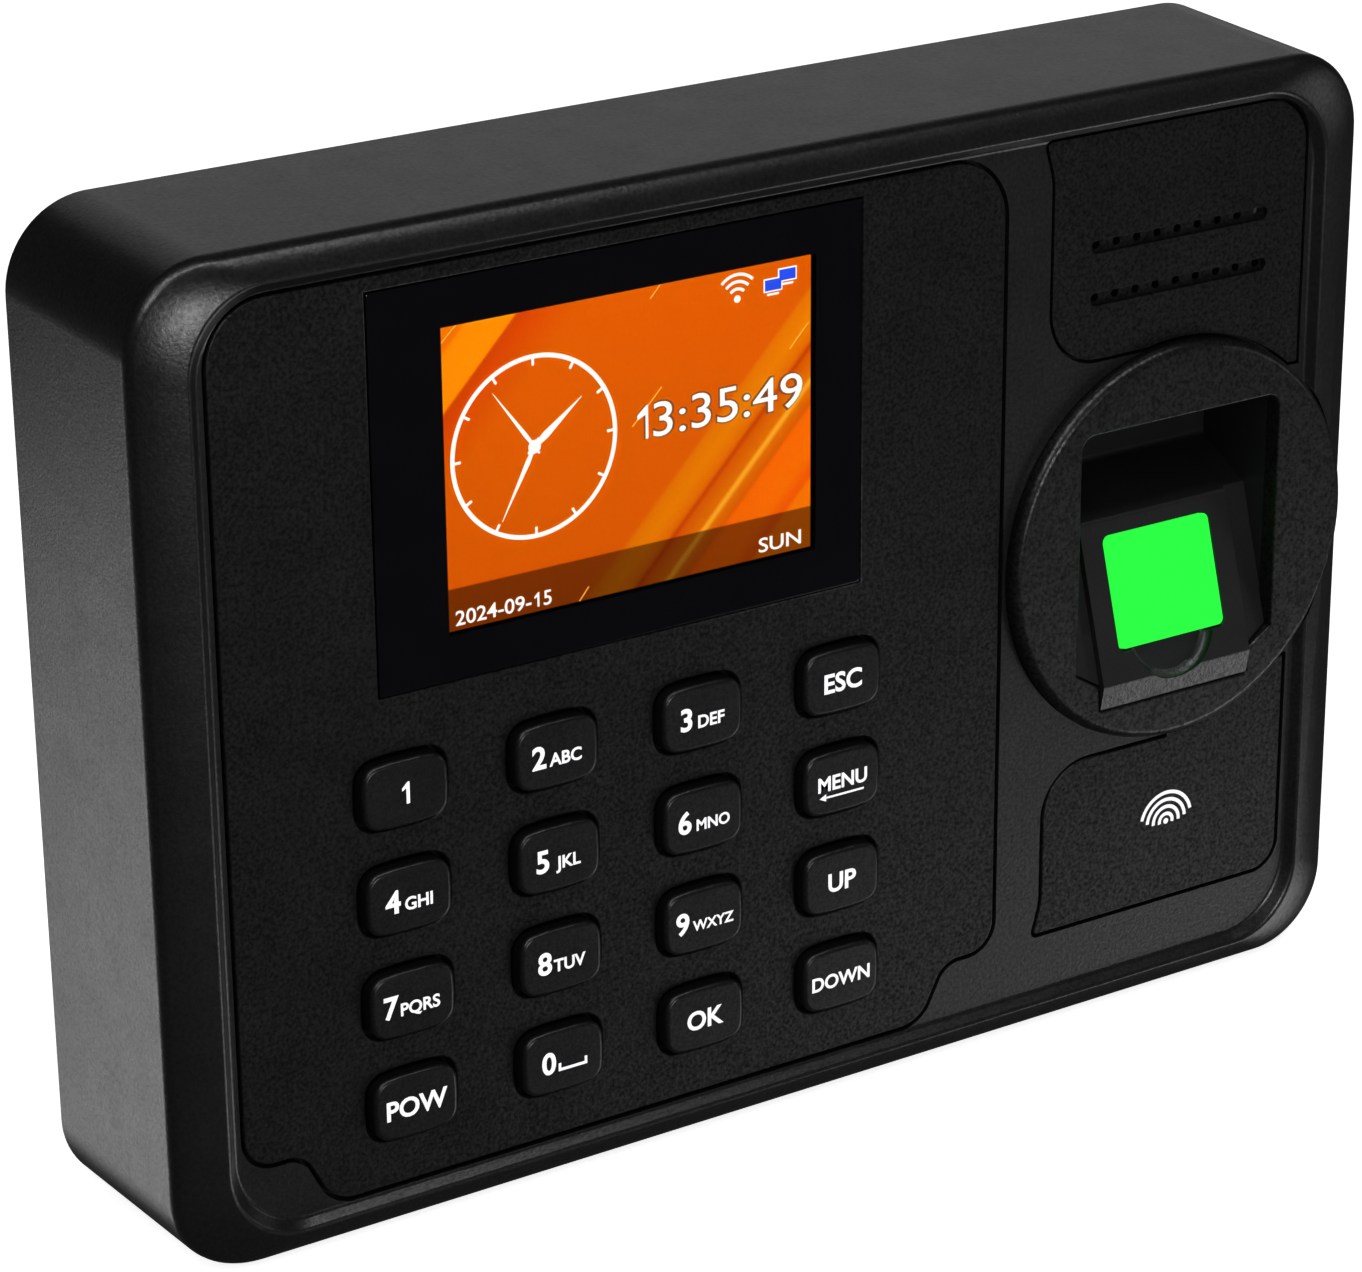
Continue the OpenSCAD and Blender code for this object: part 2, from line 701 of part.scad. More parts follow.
module sensor_housing() {
    out_w = window_w + 2 * housing_wall;
    collar_top = ring_seat_z - face_gap;
    color("#26272a") stand() difference() {
        union() {
            rod(ring_x, ring_up, flange_front_z, collar_r, collar_top - flange_front_z);
            plate(ring_x, ring_up, flange_back_z, 2 * sensor_screw_x + 7, 2 * sensor_screw_y + 7,
                  flange_front_z - flange_back_z, 3);
            box(window_x - out_w / 2, window_x + out_w / 2, housing_bottom, housing_top,
                housing_back_z, flange_back_z + face_gap);
            // Chin that carries the bed out through the bezel
            sweep_x(bed_w) polygon([
                [bed_top, flange_front_z], [bed_top, bed_z(bed_top)], [lip_y, lip_z],
                [apron_y, ring_z], [apron_y, flange_front_z]]);
        }
        well_cut(bed_w + 2 * face_gap, 0);
        difference() {
            well_cut(window_w, ledge_drop);
            box(window_x - bed_w / 2, window_x + bed_w / 2, -body_h, bed_top + 0.1, 0, body_d * 2);
        }
        // Seat of the scan window and the way through to the prism
        on_bed(-platen_t) linear_extrude(platen_t + cut)
            round_rect(platen_w + 2 * seat_gap, platen_l + 2 * seat_gap, 1.2);
        on_bed(-12) linear_extrude(12) round_rect(platen_w - 2, platen_l - 2, 0.8);
        // Hollow for the fingertip below the scan window
        on_bed(-0.9) translate([0, -platen_l / 2 + 1, 0]) cylinder(r = 6.5, h = 3);
        // Chamber for the prism and the camera
        sweep_x(platen_w + 4) polygon([
            [lip_y + 1, housing_back_z - cut], [lip_y + 1, bed_z(lip_y) - 6],
            [bed_top - 3, bed_z(bed_top) - 6], [bed_top - 3, housing_back_z - cut]]);
        for (x = [-1, 1], y = [-1, 1])
            rod(ring_x + x * sensor_screw_x, ring_up + y * sensor_screw_y, flange_back_z - cut,
                small_screw_r + 0.2, 3 * cut + 2);
    }
}

module scan_window() {
    color("#35e84a") stand() on_bed(-platen_t + face_gap) linear_extrude(platen_t)
        round_rect(platen_w, platen_l, 1);
}

module sensor_prism() {
    w = platen_w - 3;
    l = platen_l - 3;
    color("#cfe9d2") stand() on_bed(-platen_t - face_gap) translate([-w / 2, 0, 0])
        rotate([90, 0, 90]) linear_extrude(w)
            polygon([[-l / 2, 0], [l / 2, 0], [l / 2 - 1, -prism_d], [-l / 2, -2]]);
}

module sensor_board() {
    color(board_colour) stand() difference() {
        plate(window_x, (housing_top + housing_bottom) / 2, housing_back_z - face_gap - board_t,
              window_w + 2, housing_top - housing_bottom - 2, board_t, 1);
        for (y = [-1, 1]) rod(window_x, (housing_top + housing_bottom) / 2 + y * 18, 0, 1.2, body_d);
    }
}

module sensor_camera() {
    color("#18191b") stand() difference() {
        rod(window_x, platen_y - 2, housing_back_z, 3.4, 5);
        rod(window_x, platen_y - 2, housing_back_z + 4, 1.6, 2);
    }
}

module sensor_leds() {
    color("#e8f7e9") stand() for (x = [-7.5, 7.5], y = [-5, 3])
        plate(window_x + x, platen_y + y, housing_back_z, 2.8, 3.5, 1.2, 0.3);
}

module sensor_screws() {
    color(metal_colour) stand() for (x = [-1, 1], y = [-1, 1])
        screw(ring_x + x * sensor_screw_x, ring_up + y * sensor_screw_y, flange_back_z - face_gap,
              small_screw_r - 0.1, 6);
}

// ---- Electronics ----

module main_board() {
    color(board_colour) stand() difference() {
        plate((main_l + main_r) / 2, (main_top + main_bottom) / 2, main_z,
            main_w, main_top - main_bottom, board_t, 2);
        for (p = standoffs) rod(p.x, p.y, 0, small_screw_r + 0.2, body_d);
        box(-flap_w / 2 - 4, flap_w / 2 + 4, main_bottom - cut, main_bottom + 6, 0, body_d);
    }
}

module board_chips() {
    z = main_z + board_t + face_gap;
    mid = (main_top + main_bottom) / 2;
    color("#141517") stand() {
        plate(main_l + 40, mid + 8, z, 17, 17, 1.6, 0.4);
        plate(main_l + 62, mid + 12, z, 12, 8, 1.2, 0.3);
        plate(main_l + 62, mid + 1, z, 12, 8, 1.2, 0.3);
        plate(main_l + 82, mid + 8, z, 12, 12, 2.2, 0.4);
        plate(main_l + 18, mid + 14, z, 15, 12, 2.4, 0.4);
        plate(picture_x, lens_y - display_h / 2 - 7.4, z, 20, 6, 1.8, 0.4);
    }
}

// A socket that opens towards the bottom of the body, standing on the main board
module socket_shell(x, w, h, l, t) {
    z = main_z + board_t + face_gap;
    difference() {
        box(x - w / 2, x + w / 2, port_y, port_y + l, z, z + h);
        box(x - w / 2 + t, x + w / 2 - t, port_y - cut, port_y + l - t - 1, z + t, z + h - t);
    }
}

module network_socket() {
    z = main_z + board_t + face_gap;
    color(metal_colour) stand() union() {
        socket_shell(rj_x, rj_w, rj_h, rj_l, 1.4);
        box(rj_x - 5, rj_x + 5, port_y + 5, port_y + rj_l - 2, z + 1.2, z + 2.6);
    }
}

module usb_socket() {
    z = main_z + board_t + face_gap;
    color(metal_colour) stand() union() {
        socket_shell(usb_x, usb_w, usb_h, usb_l, 0.5);
        box(usb_x - 5.5, usb_x + 5.5, port_y + 1, port_y + usb_l - 1, z + usb_h - 2.2, z + usb_h - 0.45);
    }
}

module power_jack() {
    color("#17181a") stand() translate([jack_x, port_y, jack_z + face_gap]) difference() {
        translate([-jack_w / 2, 0, -jack_w / 2]) cube([jack_w, jack_l, jack_w]);
        rotate([-90, 0, 0]) translate([0, 0, -cut]) difference() {
            cylinder(r = jack_r, h = jack_l - 2 + cut);
            translate([0, 0, cut + 0.8]) cylinder(r = jack_pin_r, h = jack_l);
        }
    }
}

module board_screws() {
    color(metal_colour) stand() for (p = standoffs)
        translate([p.x, p.y, main_z + board_t + face_gap]) mirror([0, 0, 1])
            screw(0, 0, 0, small_screw_r - 0.1, 5);
}

module backup_battery() {
    color("#4a6f9c") stand()
        plate(battery_x, battery_y, rear_top_z + face_gap, battery_w, battery_h, battery_t, 3);
}

module wifi_antenna() {
    antenna_w = 30;
    antenna_h = 8;
    antenna_t = 0.8;
    x = battery_x + battery_w / 2 + antenna_w / 2 + 9;
    color(brass_colour) stand()
        plate(x, main_top + 42, rear_top_z + face_gap, antenna_w, antenna_h, antenna_t, 1);
}

// ---- Speaker ----

module speaker_gasket() {
    color("#2e2f33") stand() difference() {
        rod(speaker_x, speaker_y, panel_back_z - gasket_t, speaker_r - 0.4, gasket_t);
        rod(speaker_x, speaker_y, panel_back_z - gasket_t - cut, speaker_r - 2.4, gasket_t + 2 * cut);
    }
}

module speaker() {
    rim_t = 1.2;
    top_z = panel_back_z - gasket_t - face_gap;
    basket_r = speaker_r - 1.4;
    dish_r = speaker_r - 2;
    color("#101113") stand() translate([speaker_x, speaker_y, top_z]) rotate_extrude($fn = 64) polygon([
        [0, -cone_d - rim_t], [9, -cone_d - rim_t], [basket_r, -rim_t], [speaker_r, -rim_t],
        [speaker_r, 0], [dish_r, 0], [7, -4], [0, -3.4]]);
}

module speaker_magnet() {
    top_z = panel_back_z - gasket_t - cone_d - 1.2 - 2 * face_gap;
    color(metal_colour) stand() rod(speaker_x, speaker_y, top_z - magnet_d, 8, magnet_d);
}

module speaker_screws() {
    rim_t = 1.2;
    color(metal_colour) stand() for (s = [-1, 1])
        screw(speaker_x + s * speaker_screw_x, speaker_y, panel_back_z - gasket_t - rim_t - 2 * face_gap,
              small_screw_r - 0.1, 3.4);
}

// ---- Back ----

module tamper_switch() {
    color("#1a1b1d") stand() difference() {
        plate(tamper_x, tamper_y, tamper_body_z, 8, 8, 5, 0.5);
        rod(tamper_x, tamper_y, tamper_body_z - cut, tamper_r + slide_gap, 2.6 + cut);
    }
}

module tamper_plunger() {
    color("#e6e6e2") stand() {
        rod(tamper_x, tamper_y, 0, tamper_r, tamper_body_z + 2);
        rod(tamper_x, tamper_y, rear_top_z + slide_gap + tamper_travel, tamper_r + 0.8, 1);
    }
}

module rear_cover() {
    fit = 0.25;
    rib_t = 1.6;
    rib_z = 8;
    color(shell_colour) stand() difference() {
        union() {
            translate([0, 0, wall_gap]) linear_extrude(rear_top_z - wall_gap) body_outline(wall_t + fit);
            difference() {
                translate([0, 0, wall_gap]) linear_extrude(rib_z - wall_gap) body_outline(wall_t + fit);
                translate([0, 0, 0]) linear_extrude(rib_z + cut) body_outline(wall_t + fit + rib_t);
                // The rib stands back where the ports and the security screw pass
                box(main_l, main_r, -body_h, -inner_y + 6, rear_top_z, body_d);
            }
            for (p = case_posts)
                rod(p.x, p.y, wall_gap, case_post_r + 0.6, case_join_z - face_gap - wall_gap);
            for (p = standoffs) rod(p.x, p.y, rear_top_z - face_gap, standoff_r, main_z - rear_top_z);
        }
        // Recess and slots for the wall plate
        plate(0, 0, -cut, wall_plate_w + 1, wall_plate_h + 1, cut + floor_z, plate_corner_r + 0.5);
        box(-flap_w / 2 - 0.5, flap_w / 2 + 0.5, -inner_y - 2, flap_y + plate_t + 0.5, -cut, body_d);
        box(-flap_w / 2 - 0.5, flap_w / 2 + 0.5, flap_y, -wall_plate_h / 2 + 1, -cut, floor_z);
        for (x = [-1, 1], y = [-1, 1])
            box(x * hook_x - 4, x * hook_x + 4, y * hook_y - 2, y * hook_y + 6, -cut, body_d);
        // Case screws from behind
        for (p = case_posts) {
            rod(p.x, p.y, -cut, case_screw_r + 0.2, body_d);
            rod(p.x, p.y, -cut, case_head_r + 0.2, cut + case_head_z);
        }
        for (p = standoffs) rod(p.x, p.y, main_z - 5, small_screw_r - 0.1, 6);
        // Room for the heads of the wall screws
        for (x = [-1, 1], y = [-1, 1])
            rod(x * wall_screw_x / 2, y * wall_screw_y / 2, -cut, 2 * wall_hole_r + 0.3, body_d);
        rod(tamper_x, tamper_y, -cut, tamper_r + slide_gap, body_d);
    }
}

module wall_plate() {
    hook_h = rear_top_z + 1.2;
    color("#8d9196") stand() difference() {
        union() {
            plate(0, 0, 0, wall_plate_w, wall_plate_h, plate_t, plate_corner_r);
            box(-flap_w / 2, flap_w / 2, flap_y, -wall_plate_h / 2 + 1, 0, plate_t);
            box(-flap_w / 2, flap_w / 2, flap_y, flap_y + plate_t, 0, flap_h);
            for (x = [-1, 1], y = [-1, 1]) {
                box(x * hook_x - 3, x * hook_x + 3, y * hook_y, y * hook_y + 1.5, 0, hook_h);
                box(x * hook_x - 3, x * hook_x + 3, y * hook_y, y * hook_y + 4, hook_h, hook_h + 1.5);
            }
        }
        for (x = [-1, 1], y = [-1, 1])
            rod(x * wall_screw_x / 2, y * wall_screw_y / 2, -cut, wall_hole_r, plate_t + 2 * cut);
        rod(tamper_x, tamper_y, -cut, tamper_r + slide_gap, plate_t + 2 * cut);
        translate([0, flap_y - cut, security_z]) rotate([-90, 0, 0])
            cylinder(r = case_screw_r, h = plate_t + 2 * cut);
    }
}

module case_screws() {
    color(metal_colour) stand() for (p = case_posts)
        screw(p.x, p.y, case_head_z - face_gap, case_screw_r - 0.1, case_screw_l, 2);
}

module security_screw() {
    head_y = -body_h / 2 + 0.9 - face_gap;
    color(metal_colour) stand() translate([0, head_y, security_z]) rotate([-90, 0, 0])
        screw(0, 0, 0, case_screw_r - 0.05, 5.4, 1.6);
}

front_cover();
key_panel();
speaker_grille();
badge_plate();
display_lens();
lens_tape();
display_glass();
display_backlight();
display_frame();
display_flex();
for (i = [0:3], j = [0:3]) key_cap(i, j);
key_mat();
keypad_board();
keypad_screws();
finger_bezel();
sensor_housing();
scan_window();
sensor_prism();
sensor_board();
sensor_camera();
sensor_leds();
sensor_screws();
main_board();
board_chips();
network_socket();
usb_socket();
power_jack();
board_screws();
backup_battery();
wifi_antenna();
speaker_gasket();
speaker();
speaker_magnet();
speaker_screws();
tamper_switch();
tamper_plunger();
rear_cover();
wall_plate();
case_screws();
security_screw();
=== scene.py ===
# Looks of a wall-mounted fingerprint scanner terminal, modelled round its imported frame.
# The file is laid out as an add-on and run as a script: main() registers the classes,
# calls the operators in order and leaves the pieces, the lights and the camera in the scene.
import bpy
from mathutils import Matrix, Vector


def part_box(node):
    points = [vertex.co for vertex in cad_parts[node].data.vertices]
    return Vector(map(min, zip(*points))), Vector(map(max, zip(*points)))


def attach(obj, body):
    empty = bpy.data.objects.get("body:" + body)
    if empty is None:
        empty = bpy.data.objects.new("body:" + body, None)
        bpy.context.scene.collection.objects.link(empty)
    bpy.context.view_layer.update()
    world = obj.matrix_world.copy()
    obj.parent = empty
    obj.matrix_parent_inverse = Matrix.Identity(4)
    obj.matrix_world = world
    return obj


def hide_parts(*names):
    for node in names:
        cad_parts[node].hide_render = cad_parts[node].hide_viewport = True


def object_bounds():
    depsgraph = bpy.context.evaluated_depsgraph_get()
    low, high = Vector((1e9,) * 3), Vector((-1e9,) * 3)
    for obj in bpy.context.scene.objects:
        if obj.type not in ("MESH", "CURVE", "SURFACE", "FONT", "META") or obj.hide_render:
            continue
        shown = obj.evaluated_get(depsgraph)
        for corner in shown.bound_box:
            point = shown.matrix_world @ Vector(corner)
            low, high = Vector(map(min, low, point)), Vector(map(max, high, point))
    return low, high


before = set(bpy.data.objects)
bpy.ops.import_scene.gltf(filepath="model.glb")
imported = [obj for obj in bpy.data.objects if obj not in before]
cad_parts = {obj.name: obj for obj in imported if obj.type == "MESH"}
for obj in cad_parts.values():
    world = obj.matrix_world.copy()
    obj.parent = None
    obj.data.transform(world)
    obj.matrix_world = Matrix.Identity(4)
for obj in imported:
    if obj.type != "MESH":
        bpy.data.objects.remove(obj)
CAD_BOX = [list(corner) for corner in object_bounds()]

import math
from contextlib import contextmanager
from types import SimpleNamespace

import bmesh
import bpy
from bpy.props import FloatProperty, FloatVectorProperty, PointerProperty
from mathutils import Matrix, Vector

bl_info = {
    "name": "Fingerprint scanner terminal",
    "version": (1, 0, 0),
    "blender": (4, 5, 0),
    "location": "View3D > Sidebar > Terminal",
    "description": "Models the covers, keys, display and finger sensor round the packed frame",
    "category": "Object",
}

MM = 0.001
TINY = 2e-6
SQUARE = 1.2  # Angle in radians above which an edge counts as square
TERMINAL = "terminal"
KEYS = [
    ["key_1", "key_2", "key_3", "key_esc"],
    ["key_4", "key_5", "key_6", "key_menu"],
    ["key_7", "key_8", "key_9", "key_up"],
    ["key_power", "key_0", "key_ok", "key_down"],
]


# ---- Sizes and colours that a user would change ----


def length(name, description, millimetres):
    """A length property, given in millimetres and kept in metres."""
    return FloatProperty(name=name, description=description, default=millimetres * MM,
                         min=0, precision=5, subtype="DISTANCE", unit="LENGTH")


def tint(name, description, colour):
    """A colour property."""
    return FloatVectorProperty(name=name, description=description, default=colour,
                               size=3, min=0, max=1, subtype="COLOR")


class TerminalSizes(bpy.types.PropertyGroup):
    """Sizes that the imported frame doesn't give"""

    draft: length("Draft", "How much wider the back is than the front edge, each side", 1)
    corner: length("Corner", "Radius of the outer corners", 12)
    wall: length("Wall", "Thickness of the side walls", 2.2)
    rim_side: length("Side rim", "Width of the sloping rim left and right", 7.5)
    rim_end: length("End rim", "Width of the sloping rim at the top and bottom", 4)
    rim_fall: length("Rim fall", "Fall of the rim from its crest to the front edge", 2.5)
    rim_step: length("Rim step", "Width of the step down to the recess", 1.3)
    front_edge: length("Front edge", "Rounding of the outer front edge", 1.3)
    crest_edge: length("Crest edge", "Rounding of the rim's crest", 0.5)
    groove: length("Groove", "Groove round each inlaid panel", 0.5)
    ledge: length("Ledge", "Ledge that each inlaid panel lies on", 2.4)
    ledge_t: length("Ledge thickness", "Thickness of that ledge", 1.8)
    panel_t: length("Panel thickness", "Thickness of the inlaid panels", 2.2)
    panel_edge: length("Panel edge", "Rounding of the panels' edges", 0.3)
    notch_h: length("Notch height", "Height of the key panel's stepped corners", 8.5)
    notch_w: length("Notch width", "Width of the key panel's stepped corners", 13)
    plate_w: length("Side plate width", "Width of the speaker grille and the badge", 44.7)
    slot_w: length("Slot length", "Length of the speaker slots", 31.5)
    slot_h: length("Slot height", "Height of the speaker slots", 1.9)
    slot_pitch: length("Slot pitch", "Distance between the speaker slots", 7.6)
    key_w: length("Key width", "Width of a key's cap", 12.9)
    key_h: length("Key height", "Height of a key's cap", 9.5)
    key_corner: length("Key corner", "Corner radius of a key's cap", 2.5)
    key_bow: length("Key bow", "How far a key's sides bow out", 0.35)
    key_edge: length("Key edge", "Rounding of a key's front edge", 0.65)
    key_gap: length("Key gap", "Gap round a key's cap", 0.6)
    picture_margin: length("Picture margin", "Glass round the picture on each side", 3)
    ring_edge: length("Bezel edge", "Rounding of the round bezel's edge", 1.4)
    window_w: length("Window width", "Width of the finger window", 35.8)
    window_up: length("Window top", "Top of the finger window over the bezel's middle", 19.4)
    window_down: length("Window foot", "Foot of the window's sides below the middle", 16.8)
    bed_w: length("Bed width", "Width of the bed that carries the scan window", 27)
    bed_drop: length("Side ledge drop", "How far the side ledges lie below the bed", 1.2)
    well_d: length("Well depth", "Depth of the finger well behind the panels", 15)
    bed_tilt: FloatProperty(name="Bed tilt", description="Slope of the bed",
                            default=math.radians(16.8), subtype="ANGLE")


class TerminalColours(bpy.types.PropertyGroup):
    """Colours of the visible plastics and lights"""

    housing: tint("Housing", "Satin black of the case", (0.0030, 0.0031, 0.0033))
    panel: tint("Panels", "Matt black of the inlaid panels", (0.0022, 0.0023, 0.0026))
    keys: tint("Keys", "Satin black of the key caps", (0.0026, 0.0027, 0.0031))
    sensor: tint("Sensor", "Black of the sensor housing", (0.0050, 0.0051, 0.0056))
    ink: tint("Ink", "White of the printed legends", (0.82, 0.82, 0.84))
    picture: tint("Picture", "Orange of the clock screen", (0.72, 0.098, 0.0012))
    scan: tint("Scan light", "Green of the lit scan window", (0.022, 1.0, 0.055))


def sizes():
    """The sizes in use."""
    return bpy.context.scene.terminal_sizes


def colours():
    """The colours in use."""
    return bpy.context.scene.terminal_colours


# ---- Places, as (x, up, out): out is the distance from the wall towards the front ----


def place(x, up, out):
    """The point of the row frame at x, up the wall and out from it."""
    return Vector((x, -out, up))


def span(node):
    """Lowest and highest (x, up, out) of a CAD node."""
    low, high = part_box(node)
    return Vector((low.x, low.z, -high.y)), Vector((high.x, high.z, -low.y))


def lay_out():
    """The lines and levels that the pieces share, from the frame and the sizes."""
    size = sizes()
    low, high = span("front_cover")
    at = SimpleNamespace(back=low.z, crest=high.z, edge=high.z - size.rim_fall)
    at.half_w, at.half_h = high.x - size.draft, high.y - size.draft
    at.rim_x, at.rim_y = at.half_w - size.rim_side, at.half_h - size.rim_end
    low, high = span("key_panel")
    at.panel_l, at.panel_r, at.panel_top, at.panel_b = low.x, high.x, high.y, low.y
    at.face = high.z
    at.panel_back = at.face - size.panel_t
    at.ledge_back = at.panel_back - size.ledge_t
    low, high = span("badge_plate")
    at.plate_r, at.badge_b = high.x, low.y
    at.plate_l = high.x - size.plate_w
    low, high = span("speaker_grille")
    at.plate_top = high.y
    low, high = span("finger_bezel")
    at.ring_x, at.ring_up, at.ring_r = (low.x + high.x) / 2, (low.y + high.y) / 2, (high.x - low.x) / 2
    at.ring_seat, at.ring_face = low.z, high.z
    at.collar_r = at.ring_r - 3 * MM
    low, high = span("scan_window")
    at.window_x = (low.x + high.x) / 2
    at.window_t = at.ring_up + size.window_up
    at.window_b = at.ring_up - size.window_down
    at.lip = at.window_b - 2.6 * MM
    at.apron = at.lip - 3.8 * MM
    at.bed_top = at.ring_up + 3.6 * MM
    at.bed_zero = at.ring_up - 10.3 * MM
    return at


def bed_level(at, up):
    """Distance of the sensor's sloping bed from the wall at a height."""
    return at.face + (at.bed_zero - up) * math.tan(sizes().bed_tilt)


# ---- Modelling steps ----


def start():
    """Leave edit mode with nothing selected."""
    if bpy.context.object and bpy.context.object.mode != "OBJECT":
        bpy.ops.object.mode_set(mode="OBJECT")
    bpy.ops.object.select_all(action="DESELECT")


def take(obj):
    """Make this the only selected and the active object."""
    start()
    obj.select_set(True)
    bpy.context.view_layer.objects.active = obj


@contextmanager
def editing(obj):
    """Edit mode on one object, with all of it selected at first."""
    take(obj)
    bpy.ops.object.mode_set(mode="EDIT")
    bpy.ops.mesh.select_mode(type="VERT")
    bpy.ops.mesh.select_all(action="SELECT")
    yield
    bpy.ops.object.mode_set(mode="OBJECT")


def settled(name):
    """Name the active object and put its place, turn and scale into its mesh."""
    obj = bpy.context.object
    obj.name = name
    obj.data.name = name
    bpy.ops.object.transform_apply(location=True, rotation=True, scale=True)
    return obj


def pick(obj, kind, test):
    """Select the VERT, EDGE or FACE items of the mesh in edit mode that pass the test."""
    bpy.ops.mesh.select_mode(type=kind)
    bpy.ops.mesh.select_all(action="DESELECT")
    mesh = bmesh.from_edit_mesh(obj.data)
    for item in {"VERT": mesh.verts, "EDGE": mesh.edges, "FACE": mesh.faces}[kind]:
        if test(item):
            item.select_set(True)
    mesh.select_flush_mode()
    bmesh.update_edit_mesh(obj.data)


def lies_at(item, out):
    """Whether all of an edge or face lies at one distance from the wall."""
    return all(abs(-v.co.y - out) < TINY for v in item.verts)


def is_sharp(edge, angle=0.6):
    """Whether the two faces of an edge meet at more than this angle."""
    return len(edge.link_faces) == 2 and edge.calc_face_angle(0) > angle


def block(name, x, up, out):
    """A box from its lowest and highest x, up and out."""
    start()
    bpy.ops.mesh.primitive_cube_add(size=1, location=place(sum(x) / 2, sum(up) / 2, sum(out) / 2))
    bpy.context.object.scale = (x[1] - x[0], out[1] - out[0], up[1] - up[0])
    return settled(name)


def disc(name, x, up, radius, out, sides=128):
    """A round slab that faces the front."""
    start()
    bpy.ops.mesh.primitive_cylinder_add(vertices=sides, radius=radius, depth=out[1] - out[0],
                                        location=place(x, up, sum(out) / 2), rotation=(math.pi / 2, 0, 0))
    return settled(name)


def upright(name, x, radius, out, up, sides=48):
    """A round bar that runs up the wall."""
    start()
    bpy.ops.mesh.primitive_cylinder_add(vertices=sides, radius=radius, depth=up[1] - up[0],
                                        location=place(x, sum(up) / 2, out))
    return settled(name)


def facing(a, b, c):
    """Drawn on the front: a is x, b is up, and the slab's thickness is out."""
    return place(a, b, c)


def sideways(a, b, c):
    """Drawn from the side: a is up, b is out, and the slab's thickness is along x."""
    return place(c, a, b)


def draw(name, corners, between, lay=facing):
    """A slab between two levels, from its outline's corners as (a, b, fillet radius)."""
    start()
    first = lay(corners[0][0], corners[0][1], between[0])
    bpy.ops.mesh.primitive_plane_add(size=MM, location=first)
    obj = settled(name)
    with editing(obj):
        bpy.ops.mesh.merge(type="CENTER")
        for (a0, b0, _), (a1, b1, _) in zip(corners, corners[1:]):
            reach = lay(a1 - a0, b1 - b0, 0)
            bpy.ops.mesh.extrude_vertices_move(TRANSFORM_OT_translate={"value": reach})
        bpy.ops.mesh.select_all(action="SELECT")
        bpy.ops.mesh.edge_face_add()
        for i, (a, b, radius) in enumerate(corners):
            if radius:
                corner = lay(a, b, between[0])
                arrive = corner - lay(*corners[i - 1][:2], between[0])
                leave = lay(*corners[(i + 1) % len(corners)][:2], between[0]) - corner
                turn = arrive.angle(leave)
                pick(obj, "VERT", lambda v: (v.co - corner).length < 5 * TINY)
                bpy.ops.mesh.bevel(offset=radius * math.tan(turn / 2), affect="VERTICES",
                                   segments=max(2, round(turn * 8)))
        bpy.ops.mesh.select_all(action="SELECT")
        thickness = lay(0, 0, between[1] - between[0])
        bpy.ops.mesh.extrude_region_move(TRANSFORM_OT_translate={"value": thickness})
        bpy.ops.mesh.select_all(action="SELECT")
        bpy.ops.mesh.normals_make_consistent(inside=False)
    return obj


def swell(obj, by):
    """Push every face outwards by a distance."""
    with editing(obj):
        bpy.ops.transform.shrink_fatten(value=by, use_even_offset=True)
    return obj


def soften(obj, width, test, segments=3):
    """Round the edges that pass the test."""
    with editing(obj):
        pick(obj, "EDGE", test)
        bpy.ops.mesh.bevel(offset=width, segments=segments, affect="EDGES", clamp_overlap=True)
    return obj


def round_uprights(obj, radius, segments=12):
    """Round the four edges of a box that run from the back to the front."""
    return soften(obj, radius, lambda e: abs((e.verts[0].co - e.verts[1].co).normalized().y) > 0.99,
                  segments)


def carve(obj, tool, operation="DIFFERENCE"):
    """Cut the tool out of the object, or join it on, and remove the tool."""
    take(obj)
    modifier = obj.modifiers.new("carve", "BOOLEAN")
    modifier.object = tool
    modifier.operation = operation
    modifier.solver = "EXACT"
    bpy.ops.object.modifier_apply(modifier=modifier.name)
    bpy.data.objects.remove(tool)
    return obj


def copied(obj, name, shift=(0, 0, 0)):
    """A copy with a mesh of its own, moved by x, up and out."""
    twin = obj.copy()
    twin.data = obj.data.copy()
    twin.name = name
    twin.data.name = name
    twin.data.transform(Matrix.Translation(place(*shift)))
    bpy.context.scene.collection.objects.link(twin)
    return twin


def together(name, pieces):
    """Several objects made one."""
    take(pieces[0])
    for piece in pieces:
        piece.select_set(True)
    bpy.ops.object.join()
    return settled(name)


def finish(obj, body, materials, replaced=(), angle=32):
    """Shade a finished piece, give it its materials and let it ride on its body."""
    take(obj)
    bpy.ops.object.shade_smooth_by_angle(angle=math.radians(angle))
    modifier = obj.modifiers.new("even_shading", "WEIGHTED_NORMAL")
    modifier.keep_sharp = True
    bpy.ops.object.modifier_apply(modifier=modifier.name)
    for material in materials:
        obj.data.materials.append(material)
    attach(obj, body)
    if replaced:
        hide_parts(*replaced)
    return obj


# ---- Materials ----


def blank(name):
    """A new node material and its shader."""
    material = bpy.data.materials.new(name)
    material.use_nodes = True
    return material, material.node_tree.nodes["Principled BSDF"]


def wire(material, kind, settings=None, **inputs):
    """Add a node, set its fields, and set or link its inputs by name."""
    node = material.node_tree.nodes.new(kind)
    for field, value in (settings or {}).items():
        setattr(node, field, value)
    for name, value in inputs.items():
        socket = node.inputs[int(name[1:]) if name[0] == "i" and name[1:].isdigit() else name]
        if isinstance(value, bpy.types.NodeSocket):
            material.node_tree.links.new(value, socket)
        else:
            socket.default_value = value
    return node


def noise(material, grain, detail=3.0, rough=0.55):
    """A noise pattern on the piece's own coordinates, with features of about this size."""
    coords = wire(material, "ShaderNodeTexCoord")
    return wire(material, "ShaderNodeTexNoise", Vector=coords.outputs["Object"], Scale=1 / grain,
                Detail=detail, Roughness=rough).outputs["Fac"]


